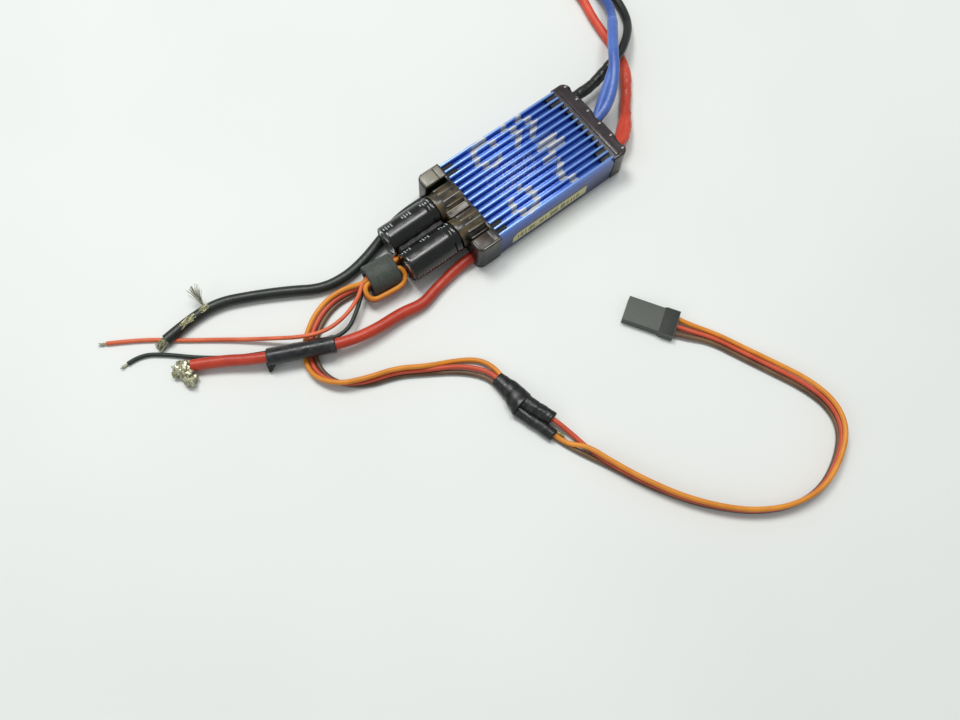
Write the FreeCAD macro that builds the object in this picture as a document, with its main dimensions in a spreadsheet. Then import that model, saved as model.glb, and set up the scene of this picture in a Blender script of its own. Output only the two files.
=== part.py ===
# Electronic speed controller (ESC) for a model aircraft, drawn as the bench pieces it comes apart into.
# Frame: +X along the cooling fins from the battery end to the motor end, +Z up,
# origin at the centre of the bottom of the case block (case, end caps and capacitors). Millimetres.
import FreeCAD, Part
import math, os
from FreeCAD import Vector as V

doc = FreeCAD.newDocument("speed_controller")
sheet = doc.addObject("Spreadsheet::Sheet", "Dims")
_row = [0]
D = {}


def dim(alias, value):
    """One driving dimension: a name in column A, a plain number in column B with its alias."""
    _row[0] += 1
    r = _row[0]
    sheet.set("A%d" % r, alias)
    sheet.set("B%d" % r, "%g" % value)
    sheet.setAlias("B%d" % r, alias)
    D[alias] = float("%g" % value)


# ---------------------------------------------------------------- driving dimensions
for a_, v_ in [
    # heat sink case: an inverted U extrusion with fins along X
    ("case_front", -10.0), ("case_len", 39.4), ("case_wide", 27.4), ("case_high", 10.2),
    ("side_wall", 1.2), ("fin_floor", 8.2), ("ceiling", 6.2), ("fin_thick", 0.75), ("fin_count", 13),
    ("groove_low", 0.35), ("groove_high", 0.85), ("groove_deep", 0.5),
    # bottom cover
    ("cover_thick", 1.0), ("cover_tongue", 0.42),
    # end caps
    ("front_cap_len", 7.1), ("front_mid_len", 6.0), ("rear_cap_len", 5.1), ("cap_wall", 0.9),
    ("front_cap_wide", 28.2), ("rear_cap_wide", 27.6), ("block_wide", 4.4), ("block_high", 9.9),
    ("collar_dia", 8.4), ("collar_bore", 7.0), ("hump_radius", 5.1), ("hump_height", 5.05), ("nose_wide", 1.9), ("tongue_len", 3.3), ("tongue_high", 1.3),
    ("battery_hole", 3.3), ("motor_hole", 3.3), ("battery_hole_z", 1.75), ("battery_hole_y", 10.5),
    ("motor_hole_z", 5.85), ("motor_pitch", 9.7), ("wire_slot_wide", 5.6), ("wire_slot_high", 4.1),
    # electrolytic capacitors
    ("can_dia", 8.0), ("can_len", 15.2), ("sleeve_dia", 8.6), ("sleeve_len", 15.6), ("can_pitch", 9.24),
    ("can_axis_z", 6.5), ("can_front", -33.8), ("bung_len", 1.0), ("bung_dia", 6.6), ("can_lead_dia", 0.6),
    # boards
    ("power_len", 46.0), ("power_wide", 23.6), ("power_thick", 1.2), ("power_x", -14.4), ("power_z", 3.3),
    ("notch_len", 10.6), ("notch_wide", 11.6),
    ("control_len", 31.0), ("control_wide", 17.0), ("control_thick", 0.6), ("control_x", -13.0), ("control_z", 1.1),
    ("fet_len", 4.6), ("fet_wide", 5.4), ("fet_thick", 1.0), ("pad_thick", 0.7),
    ("bar_len", 29.0), ("bar_wide", 1.4), ("bar_thick", 0.8),
    ("driver_side", 4.0), ("driver_thick", 0.85), ("mcu_side", 5.0), ("mcu_thick", 0.9),
    ("reg_len", 4.0), ("reg_wide", 4.4), ("reg_thick", 1.2), ("coil_side", 4.8), ("coil_high", 2.9),
    ("mlcc_len", 2.0), ("mlcc_wide", 1.25), ("mlcc_thick", 0.8), ("res_len", 1.0), ("res_wide", 0.5), ("res_thick", 0.35),
    ("xtal_len", 3.2), ("xtal_wide", 1.5), ("xtal_thick", 0.8), ("led_len", 1.6), ("led_wide", 0.8), ("led_thick", 0.6),
    ("pin_side", 0.5), ("pin_pitch", 1.27), ("pin_count", 6),
    # label
    ("label_len", 25.6), ("label_high", 3.9), ("label_thick", 0.12), ("label_x", -5.6), ("label_z", 1.9), ("label_cut", 1.3),
    # ferrite and servo plug
    ("ferrite_dia", 8.6), ("ferrite_len", 8.2), ("ferrite_bore", 5.4),
    ("plug_len", 14.0), ("plug_wide", 7.8), ("plug_nose", 7.0), ("plug_high", 2.6), ("plug_flange", 3.6),
    ("contact_side", 0.9), ("contact_len", 9.0), ("plug_pitch", 2.54),
    # cords
    ("battery_wire", 3.0), ("motor_wire", 2.6), ("motor_sleeve", 3.2), ("servo_wire", 1.3), ("aux_wire", 1.1),
    ("tape_wall", 0.4), ("bullet_dia", 4.5), ("bullet_bore", 3.5), ("bullet_len", 13.0), ("bullet_deep", 8.0),
    ("shrink_dia", 5.3), ("shrink_len", 12.0),
]:
    dim(a_, v_)
doc.recompute()

made = {}          # label -> document object


def keep(obj, label):
    obj.Label = label
    made[label] = obj
    return obj


def ex(obj, prop, expression):
    obj.setExpression(prop, expression)


def box(name, lx, ly, lz, px, py, pz, yaw=0.0):
    """Box whose sizes are expressions of the sheet; px, py, pz are its corner (numbers or expressions)."""
    b = doc.addObject("Part::Box", name)
    for prop, e in (("Length", lx), ("Width", ly), ("Height", lz)):
        if isinstance(e, str):
            ex(b, prop, e)
        else:
            setattr(b, prop, e)
    for k, e in (("x", px), ("y", py), ("z", pz)):
        if isinstance(e, str):
            ex(b, "Placement.Base.%s" % k, e)
        else:
            pass
    base = V(0 if isinstance(px, str) else px, 0 if isinstance(py, str) else py, 0 if isinstance(pz, str) else pz)
    b.Placement = FreeCAD.Placement(base, FreeCAD.Rotation(V(0, 0, 1), yaw))
    return b


def cyl(name, radius, height, base, direction=V(0, 0, 1)):
    c = doc.addObject("Part::Cylinder", name)
    for prop, e in (("Radius", radius), ("Height", height)):
        if isinstance(e, str):
            ex(c, prop, e)
        else:
            setattr(c, prop, e)
    c.Placement = FreeCAD.Placement(V(*base), FreeCAD.Rotation(V(0, 0, 1), V(*direction)))
    return c


def cut(name, a, b):
    o = doc.addObject("Part::Cut", name)
    o.Base, o.Tool = a, b
    return o


def fuse(name, parts):
    o = doc.addObject("Part::MultiFuse", name)
    o.Shapes = parts
    o.Refine = False
    return o


def group(name, parts):
    o = doc.addObject("Part::Compound", name)
    o.Links = parts
    return o


def feature(name, shape):
    o = doc.addObject("Part::Feature", name)
    o.Shape = shape
    o.Placement = FreeCAD.Placement()
    return o


def origin_plane(body, role):
    for f in body.Origin.OriginFeatures:
        if f.Role == role:
            return f
    raise RuntimeError(role)


def closed_sketch(body, name, role, pts, offset=None):
    """A closed outline of straight lines on one of the body's own origin planes."""
    sk = body.newObject("Sketcher::SketchObject", name)
    sk.AttachmentSupport = [(origin_plane(body, role), "")]
    sk.MapMode = "FlatFace"
    if offset is not None:
        sk.AttachmentOffset = offset
    n = len(pts)
    for i in range(n):
        a, b = pts[i], pts[(i + 1) % n]
        sk.addGeometry(Part.LineSegment(V(a[0], a[1], 0), V(b[0], b[1], 0)), False)
    return sk


# ---------------------------------------------------------------- heat sink case
# Section in the YZ plane: walls to the table, a thick roof, 13 fins with rounded tops, grooves for the cover.
hw = D["case_wide"] / 2
pitch = (D["case_wide"] - 1.2 - D["fin_thick"]) / (D["fin_count"] - 1)
fin_y = [-(D["case_wide"] - 1.2 - D["fin_thick"]) / 2 + i * pitch for i in range(int(D["fin_count"]))]
case = doc.addObject("PartDesign::Body", "case_body")
sk = case.newObject("Sketcher::SketchObject", "case_section")
sk.AttachmentSupport = [(origin_plane(case, "YZ_Plane"), "")]
sk.MapMode = "FlatFace"


def sk_line(a, b):
    sk.addGeometry(Part.LineSegment(V(a[0], a[1], 0), V(b[0], b[1], 0)), False)


def sk_arc(a, m, b):
    sk.addGeometry(Part.Arc(V(a[0], a[1], 0), V(m[0], m[1], 0), V(b[0], b[1], 0)), False)


ft = D["fin_thick"] / 2
top, floor_z, ceil = D["case_high"], D["fin_floor"], D["ceiling"]
inner = hw - D["side_wall"]
gl, gh, gd = D["groove_low"], D["groove_high"], D["groove_deep"]
left = [(-hw, floor_z - 0.1), (-hw, 0), (-inner, 0), (-inner, gl), (-inner - gd, gl), (-inner - gd, gh), (-inner, gh),
        (-inner, ceil), (inner, ceil), (inner, gh), (inner + gd, gh), (inner + gd, gl), (inner, gl), (inner, 0),
        (hw, 0), (hw, floor_z - 0.1)]
for i in range(len(left) - 1):
    sk_line(left[i], left[i + 1])
# bevel from the wall up to the last fin, then the fins from +y to -y
y_last = fin_y[-1]
sk_line((hw, floor_z - 0.1), (y_last + ft, top - ft))
for i in range(len(fin_y) - 1, -1, -1):
    y = fin_y[i]
    sk_arc((y + ft, top - ft), (y, top), (y - ft, top - ft))
    if i:
        y2 = fin_y[i - 1]
        sk_line((y - ft, top - ft), (y - ft, floor_z))
        sk_line((y - ft, floor_z), (y2 + ft, floor_z))
        sk_line((y2 + ft, floor_z), (y2 + ft, top - ft))
sk_line((fin_y[0] - ft, top - ft), (-hw, floor_z - 0.1))
pad = case.newObject("PartDesign::Pad", "case_pad")
pad.Profile = sk
ex(pad, "Length", "Dims.case_len")
case.Placement = FreeCAD.Placement(V(D["case_front"], 0, 0), FreeCAD.Rotation())
ex(case, "Placement.Base.x", "Dims.case_front")
doc.recompute()
keep(case, "heatsink_case")

# ---------------------------------------------------------------- bottom cover, slides in the grooves
cov = fuse("cover", [
    box("cover_plate", "Dims.case_len - 0.2", "Dims.case_wide - 2*Dims.side_wall - 0.1", "Dims.cover_thick",
        "Dims.case_front + 0.1", "-(Dims.case_wide - 2*Dims.side_wall - 0.1)/2", 0.0),
    box("cover_tongues", "Dims.case_len - 0.2", "Dims.case_wide - 2*Dims.side_wall + 2*Dims.cover_tongue",
        "Dims.groove_high - Dims.groove_low - 0.1", "Dims.case_front + 0.1",
        "-(Dims.case_wide - 2*Dims.side_wall + 2*Dims.cover_tongue)/2", "Dims.groove_low + 0.05")])
keep(cov, "bottom_cover")

# ---------------------------------------------------------------- front end cap (battery end)
cf, cl, cm = D["case_front"], D["front_cap_len"], D["front_mid_len"]
fw = D["front_cap_wide"] / 2
cw = D["cap_wall"]


def face_yz(pts, x):
    """Face in a plane of constant x from lines and arcs; an arc is written as ('a', mid, end)."""
    edges, p = [], pts[0]
    for q in pts[1:]:
        if q[0] == "a":
            m, e = q[1], q[2]
            edges.append(Part.Arc(V(x, p[0], p[1]), V(x, m[0], m[1]), V(x, e[0], e[1])).toShape())
            p = e
        else:
            if abs(q[0] - p[0]) + abs(q[1] - p[1]) > 1e-6:
                edges.append(Part.LineSegment(V(x, p[0], p[1]), V(x, q[0], q[1])).toShape())
            p = q
    if abs(p[0] - pts[0][0]) + abs(p[1] - pts[0][1]) > 1e-6:
        edges.append(Part.LineSegment(V(x, p[0], p[1]), V(x, pts[0][0], pts[0][1])).toShape())
    return Part.Face(Part.Wire(edges))


hr, hz = D["hump_radius"], D["hump_height"]
cy = D["can_pitch"] / 2
nw = D["nose_wide"] / 2


def hump_outline(r, y_out, z_low, nose_z, mid_half):
    """Two arches side by side with a flat valley between them."""
    def arch(yc, y0, y1):
        z0 = hz + math.sqrt(max(r * r - (y0 - yc) ** 2, 0.0))
        z1 = hz + math.sqrt(max(r * r - (y1 - yc) ** 2, 0.0))
        return (y0, z0), (yc, hz + r), (y1, z1)
    a0, am, a1 = arch(cy, min(y_out, cy + r * 0.98), mid_half)
    pts = [(-y_out, z_low), (y_out, z_low), (y_out, a0[1]), a0, ("a", am, a1)]
    b0, bm, b1 = arch(-cy, -mid_half, -min(y_out, cy + r * 0.98))
    pts += [b0, ("a", bm, b1), (-y_out, b1[1])]
    return pts


mid = face_yz(hump_outline(hr, 9.8, 0.0, 8.0, nw), cf - cm).extrude(V(cm, 0, 0))
blocks = []
for s in (1, -1):
    b = Part.makeBox(cl, D["block_wide"], D["block_high"], V(cf - cl, (fw - D["block_wide"]) if s > 0 else -fw, 0))
    out_edges = [e for e in b.Edges if abs(e.Vertexes[0].Point.x - (cf - cl)) < 1e-6 and abs(e.Vertexes[1].Point.x - (cf - cl)) < 1e-6
                 and abs(e.Vertexes[0].Point.y - s * fw) < 1e-6 and abs(e.Vertexes[1].Point.y - s * fw) < 1e-6]
    b = b.makeFillet(1.9, out_edges)
    top_edges = [e for e in b.Edges if all(abs(v.Point.z - D["block_high"]) < 1e-6 for v in e.Vertexes)
                 and not all(abs(v.Point.x - cf) < 1e-6 for v in e.Vertexes)]
    try:
        b = b.makeFillet(0.45, top_edges)
    except Exception:
        b = b.makeChamfer(0.4, top_edges)
    blocks.append(b)
nose = Part.makeBox(cl, 2 * nw, 6.2, V(cf - cl, -nw, 3.0))
nose = nose.makeFillet(0.6, [e for e in nose.Edges if all(abs(v.Point.x - (cf - cl)) < 1e-6 for v in e.Vertexes)])
shell = mid.fuse(blocks[0]).fuse(blocks[1]).fuse(nose)
# hollow inside, open towards the case
hol = face_yz(hump_outline(hr - cw, 9.8, 1.0, 8.0, nw), cf - cm + cw).extrude(V(cm - cw + 0.01, 0, 0))
for s in (1, -1):
    y0 = fw - D["block_wide"] if s > 0 else -fw + cw
    hol = hol.fuse(Part.makeBox(cl - cw + 0.01, D["block_wide"] - cw, D["block_high"] - cw - 1.0, V(cf - cl + cw, y0, 1.0)))
    y1 = fw - D["block_wide"] - 1.2 if s > 0 else -fw + D["block_wide"] - 0.2
    hol = hol.fuse(Part.makeBox(cm - cw + 0.01, 1.4, 6.0, V(cf - cm + cw, y1, 1.0)))
shell = shell.cut(hol)
# battery lead holes, signal wire slot, capacitor lead holes
for s in (1, -1):
    shell = shell.cut(Part.makeCylinder(D["battery_hole"] / 2, 4.0, V(cf - cl - 1, s * D["battery_hole_y"], D["battery_hole_z"]), V(1, 0, 0)))
shell = shell.cut(Part.makeBox(4.0, D["wire_slot_wide"], D["wire_slot_high"], V(cf - cl - 1.5, -1.0 - 0.2, 1.1)))
for s in (1, -1):
    for k in (-1.75, 1.75):
        shell = shell.cut(Part.makeCylinder(0.5, 2.5, V(cf - cm - 0.5, s * cy + k, D["can_axis_z"]), V(1, 0, 0)))
# a collar behind each capacitor, standing off the front wall round its two leads
for s in (1, -1):
    xc0, xc1 = D["can_front"] + D["sleeve_len"] + 0.1, cf - cm + 0.1
    collar = Part.makeCylinder(D["collar_dia"] / 2, xc1 - xc0, V(xc0, s * cy, D["can_axis_z"]), V(1, 0, 0))
    collar = collar.cut(Part.makeCylinder(D["collar_bore"] / 2, xc1 - xc0 - 0.1, V(xc0, s * cy, D["can_axis_z"]), V(1, 0, 0)))
    shell = shell.fuse(collar)
# tongues that slide between the outermost fins, two on each side
tongues = []
for i in (0, 1, len(fin_y) - 3, len(fin_y) - 2):
    y0, y1 = fin_y[i] + ft + 0.08, fin_y[i + 1] - ft - 0.08
    t_ = Part.makeBox(D["tongue_len"] + 0.6, y1 - y0, D["tongue_high"], V(cf - 0.6, y0, floor_z + 0.04))
    t_ = t_.makeFillet((y1 - y0) * 0.46, [e for e in t_.Edges if all(abs(v.Point.x - (cf + D["tongue_len"])) < 1e-6 for v in e.Vertexes)
                                         and abs(e.Vertexes[0].Point.z - e.Vertexes[1].Point.z) > 0.5])
    tongues.append(t_)
lip = Part.makeBox(0.6, 2 * 12.9, floor_z + 0.04 + D["tongue_high"] - 6.9, V(cf - 0.6, -12.9, 6.9))
shell = shell.fuse(lip)
for t_ in tongues:
    shell = shell.fuse(t_)
keep(feature("front_cap", shell), "front_end_cap")

# ---------------------------------------------------------------- rear end cap (motor end)
rx = cf + D["case_len"]
rl, rw = D["rear_cap_len"], D["rear_cap_wide"] / 2
rb = Part.makeBox(rl, 2 * rw, 9.7, V(rx, -rw, 0))
rb = rb.makeFillet(2.3, [e for e in rb.Edges if all(abs(v.Point.x - (rx + rl)) < 1e-6 for v in e.Vertexes)
                         and abs(e.Vertexes[0].Point.z - e.Vertexes[1].Point.z) > 5])
rb = rb.makeFillet(0.5, [e for e in rb.Edges if all(abs(v.Point.z - 9.7) < 1e-6 for v in e.Vertexes)
                         and not all(abs(v.Point.x - rx) < 1e-6 for v in e.Vertexes)])
# a raised rib across the top, next to the fins
rb = rb.fuse(Part.makeBox(1.3, 2 * 12.9, 1.2, V(rx + 0.9, -12.9, 9.0)))
rb = rb.cut(Part.makeBox(rl - cw + 0.01, 2 * (rw - cw), 9.7 - 1.0 - 1.0, V(rx - 0.01, -(rw - cw), 1.0)))
for k in (-1, 0, 1):
    y = k * D["motor_pitch"]
    rb = rb.cut(Part.makeCylinder(D["motor_hole"] / 2, 3.0, V(rx + rl - 2.0, y, D["motor_hole_z"]), V(1, 0, 0)))
    # seat: a shallow cradle in the top edge above each lead
    rb = rb.cut(Part.makeCylinder(2.1, 2.0, V(rx + rl - 1.0, y, D["motor_hole_z"] + 4.6), V(1, 0, 0)))
for i in range(len(fin_y) - 1):
    y0, y1 = fin_y[i] + ft + 0.08, fin_y[i + 1] - ft - 0.08
    long_ = i in (0, 1, len(fin_y) - 3, len(fin_y) - 2)
    n = D["tongue_len"] if long_ else 0.9
    t_ = Part.makeBox(n + 0.9, y1 - y0, D["tongue_high"], V(rx - n, y0, floor_z + 0.04))
    if long_:
        t_ = t_.makeFillet((y1 - y0) * 0.46, [e for e in t_.Edges if all(abs(v.Point.x - (rx - n)) < 1e-6 for v in e.Vertexes)
                                             and abs(e.Vertexes[0].Point.z - e.Vertexes[1].Point.z) > 0.5])
    rb = rb.fuse(t_)
keep(feature("rear_cap", rb), "rear_end_cap")

# ---------------------------------------------------------------- side label: a thin sticker with a cut corner on the -y wall
lab = doc.addObject("PartDesign::Body", "label_body")
LL, LH, LC = D["label_len"], D["label_high"], D["label_cut"]
lsk = closed_sketch(lab, "label_outline", "XZ_Plane", [(0, 0), (LL, 0), (LL, LH), (LC, LH), (0, LH - LC)])
lp = lab.newObject("PartDesign::Pad", "label_pad")
lp.Profile = lsk
ex(lp, "Length", "Dims.label_thick")
lab.Placement = FreeCAD.Placement(V(D["label_x"], -hw, D["label_z"]), FreeCAD.Rotation())
ex(lab, "Placement.Base.x", "Dims.label_x")
ex(lab, "Placement.Base.z", "Dims.label_z")
doc.recompute()
if lab.Shape.BoundBox.YMax > -hw + 1e-4:      # the sticker lies on the outside of the wall
    lab.Placement = FreeCAD.Placement(V(D["label_x"], -hw - (lab.Shape.BoundBox.YMax + hw), D["label_z"]), FreeCAD.Rotation())
keep(lab, "side_label")

# ---------------------------------------------------------------- power board with a notch for the choke
pb = doc.addObject("PartDesign::Body", "power_body")
PX, PL_, PW = D["power_x"], D["power_len"], D["power_wide"]
NL, NW = D["notch_len"], D["notch_wide"]
psk = closed_sketch(pb, "power_outline", "XY_Plane", [
    (0, -PW / 2), (PL_, -PW / 2), (PL_, PW / 2), (0, PW / 2), (0, NW / 2), (NL, NW / 2), (NL, -NW / 2), (0, -NW / 2)])
pp = pb.newObject("PartDesign::Pad", "power_pad")
pp.Profile = psk
ex(pp, "Length", "Dims.power_thick")
pb.Placement = FreeCAD.Placement(V(PX, 0, D["power_z"]), FreeCAD.Rotation())
ex(pb, "Placement.Base.x", "Dims.power_x")
ex(pb, "Placement.Base.z", "Dims.power_z")
keep(pb, "power_board")

cb = box("control_plate", "Dims.control_len", "Dims.control_wide", "Dims.control_thick",
         "Dims.control_x", "-Dims.control_wide/2", "Dims.control_z")
keep(cb, "control_board")

pz = D["power_z"] + D["power_thick"]
fets = []
for i in range(6):
    for s in (0, 1):
        fets.append(box("fet_%d_%d" % (i, s), "Dims.fet_len", "Dims.fet_wide", "Dims.fet_thick",
                        -2.6 + i * 5.0, (1.6 if s else -1.6 - D["fet_wide"]), pz))
keep(group("fets", fets), "power_mosfets")
tz = pz + D["fet_thick"]
keep(box("pad", "6*5.0 - 0.2", "2*(1.6 + Dims.fet_wide)", "Dims.pad_thick", -2.6, -(1.6 + D["fet_wide"]), tz), "thermal_pad")
bars = [box("bar_%d" % k, "Dims.bar_len", "Dims.bar_wide", "Dims.bar_thick", -2.4, y, pz) for k, y in ((0, 8.6), (1, -10.0))]
keep(group("bars", bars), "copper_bus_bars")
cz = D["control_z"] + D["control_thick"]
drv = [box("drv_%d" % i, "Dims.driver_side", "Dims.driver_side", "Dims.driver_thick", -1.0 + 6.0 * i, 3.2, cz) for i in range(3)]
keep(group("drivers", drv), "gate_drivers")
keep(box("mcu", "Dims.mcu_side", "Dims.mcu_side", "Dims.mcu_thick", 3.0, -6.4, cz), "microcontroller")
regs = [box("reg_%d" % i, "Dims.reg_len", "Dims.reg_wide", "Dims.reg_thick", -3.6 - 0.0 * i, -7.4 + 0.0 * i + (0 if i == 0 else 5.0), cz) for i in range(2)]
keep(group("regs", regs), "bec_regulators")
coil = box("coil", "Dims.coil_side", "Dims.coil_side", "Dims.coil_high", -8.9, -2.4 - 0.1, cz)
coil_f = doc.addObject("Part::Fillet", "coil_round")
doc.recompute()
coil_f.Base = coil
coil_f.Edges = [(i + 1, 0.7, 0.7) for i, e in enumerate(coil.Shape.Edges)
                if abs(e.Vertexes[0].Point.z - e.Vertexes[1].Point.z) > 1]
keep(coil_f, "bec_inductor")
ml = [box("mlcc_%d" % i, "Dims.mlcc_len", "Dims.mlcc_wide", "Dims.mlcc_thick", x, y, z)
      for i, (x, y, z) in enumerate([(-9.0, 6.4, pz), (-9.0, 8.4, pz), (-9.0, -7.7, pz), (-9.0, -9.7, pz), (-5.6, 6.4, pz), (-5.6, -7.7, pz)])]
keep(group("mlccs", ml), "ceramic_capacitors")
rs = [box("res_%d" % i, "Dims.res_len", "Dims.res_wide", "Dims.res_thick", x, y, cz)
      for i, (x, y) in enumerate([(9.2, -3.0), (9.2, -4.2), (9.2, -5.4), (9.2, -6.6), (11.0, -3.0), (11.0, -4.2), (-5.8, 6.0), (-5.8, 7.2)])]
keep(group("resistors", rs), "chip_resistors")
keep(box("xtal", "Dims.xtal_len", "Dims.xtal_wide", "Dims.xtal_thick", 3.6, -0.9, cz), "crystal_oscillator")
keep(box("led", "Dims.led_len", "Dims.led_wide", "Dims.led_thick", 14.6, -7.2, cz), "status_led")
pins = [box("pin_%d" % i, "Dims.pin_side", "Dims.pin_side", "Dims.power_z - Dims.control_z - Dims.control_thick", 16.2,
            -3.2 + i * D["pin_pitch"], cz) for i in range(int(D["pin_count"]))]
keep(group("pins", pins), "board_pin_header")

# ---------------------------------------------------------------- electrolytic capacitors, rims facing -X
cx, az = D["can_front"], D["can_axis_z"]
bungs, legs = [], []
for side, s in (("left", 1), ("right", -1)):
    y = s * cy
    can = cyl("can_%s" % side, "Dims.can_dia/2", "Dims.can_len", (cx + 0.25, y, az), (1, 0, 0))
    groove = doc.addObject("Part::Torus", "crimp_%s" % side)
    ex(groove, "Radius1", "Dims.can_dia/2 + 0.35")
    groove.Radius2 = 0.7
    groove.Placement = FreeCAD.Placement(V(cx + 0.25 + D["can_len"] - 2.2, y, az), FreeCAD.Rotation(V(0, 0, 1), V(1, 0, 0)))
    hole = cyl("can_mouth_%s" % side, "Dims.bung_dia/2", "Dims.bung_len", (cx + 0.25 + D["can_len"] - D["bung_len"], y, az), (1, 0, 0))
    keep(cut("can_done_%s" % side, cut("can_a_%s" % side, can, groove), hole), "capacitor_%s_can" % side)
    so = cyl("slv_o_%s" % side, "Dims.sleeve_dia/2", "Dims.sleeve_len", (cx, y, az), (1, 0, 0))
    si = cyl("slv_i_%s" % side, "Dims.can_dia/2 + 0.01", "Dims.can_len", (cx + 0.25, y, az), (1, 0, 0))
    s1 = cyl("slv_f_%s" % side, 3.35, 2.0, (cx - 0.5, y, az), (1, 0, 0))
    s2 = cyl("slv_r_%s" % side, 3.35, 2.0, (cx + D["sleeve_len"] - 0.5, y, az), (1, 0, 0))
    keep(cut("slv_%s" % side, so, fuse("slv_t_%s" % side, [si, s1, s2])), "capacitor_%s_sleeve" % side)
    bungs.append(cyl("bung_%s" % side, "Dims.bung_dia/2 - 0.02", "Dims.bung_len - 0.02", (cx + 0.25 + D["can_len"] - D["bung_len"] + 0.01, y, az), (1, 0, 0)))
    xb = cx + 0.25 + D["can_len"]
    legs += [cyl("leg_%s_%d" % (side, k), "Dims.can_lead_dia/2", 5.4, (xb, y + k * 1.75, az), (1, 0, 0)) for k in (-1, 1)]
keep(group("bungs", bungs), "capacitor_bungs")
keep(group("legs", legs), "capacitor_leads")

# ---------------------------------------------------------------- solder joints on the boards
sj = []
for s in (1, -1):
    sj.append(box("sj_b%d" % s, 1.0, 3.0, "Dims.power_z - 0.25", -13.6 + 0.0, s * D["battery_hole_y"] - 1.5, 0.25 + 0.0))
for o in sj:                      # the lead ends meet blocks of solder under the power board's edge
    o.Placement = FreeCAD.Placement(V(-13.58, o.Placement.Base.y, 1.05), FreeCAD.Rotation())
    ex(o, "Height", "Dims.power_z - 1.05")
for k in (-1, 0, 1):
    sj.append(box("sj_m%d" % (k + 1), 2.2, 2.6, 1.5, 27.98, k * D["motor_pitch"] - 1.3, pz))
for i, y in enumerate((-1.5, 0.0, 1.5, 3.1, 4.4)):
    sj.append(box("sj_s%d" % i, 1.2, 1.0, 0.9, -11.18 + 0.02, y - 0.5, cz))
keep(group("solder", sj), "solder_joints")

# ---------------------------------------------------------------- ferrite ring lying on the table in front of the capacitors
FC, FU = V(-39.75, -1.25, 0), V(-0.9936, 0.113, 0)
fl, fd = D["ferrite_len"], D["ferrite_dia"]
fz = fd / 2
f0 = FC - FU * (fl / 2) + V(0, 0, fz)
fo = cyl("ferrite_outer", "Dims.ferrite_dia/2", "Dims.ferrite_len", (f0.x, f0.y, f0.z), (FU.x, FU.y, 0))
f1 = FC - FU * (fl / 2 + 1) + V(0, 0, fz)
fi = cyl("ferrite_hole", "Dims.ferrite_bore/2", "Dims.ferrite_len + 2", (f1.x, f1.y, f1.z), (FU.x, FU.y, 0))
keep(cut("ferrite", fo, fi), "ferrite_ring")

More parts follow.
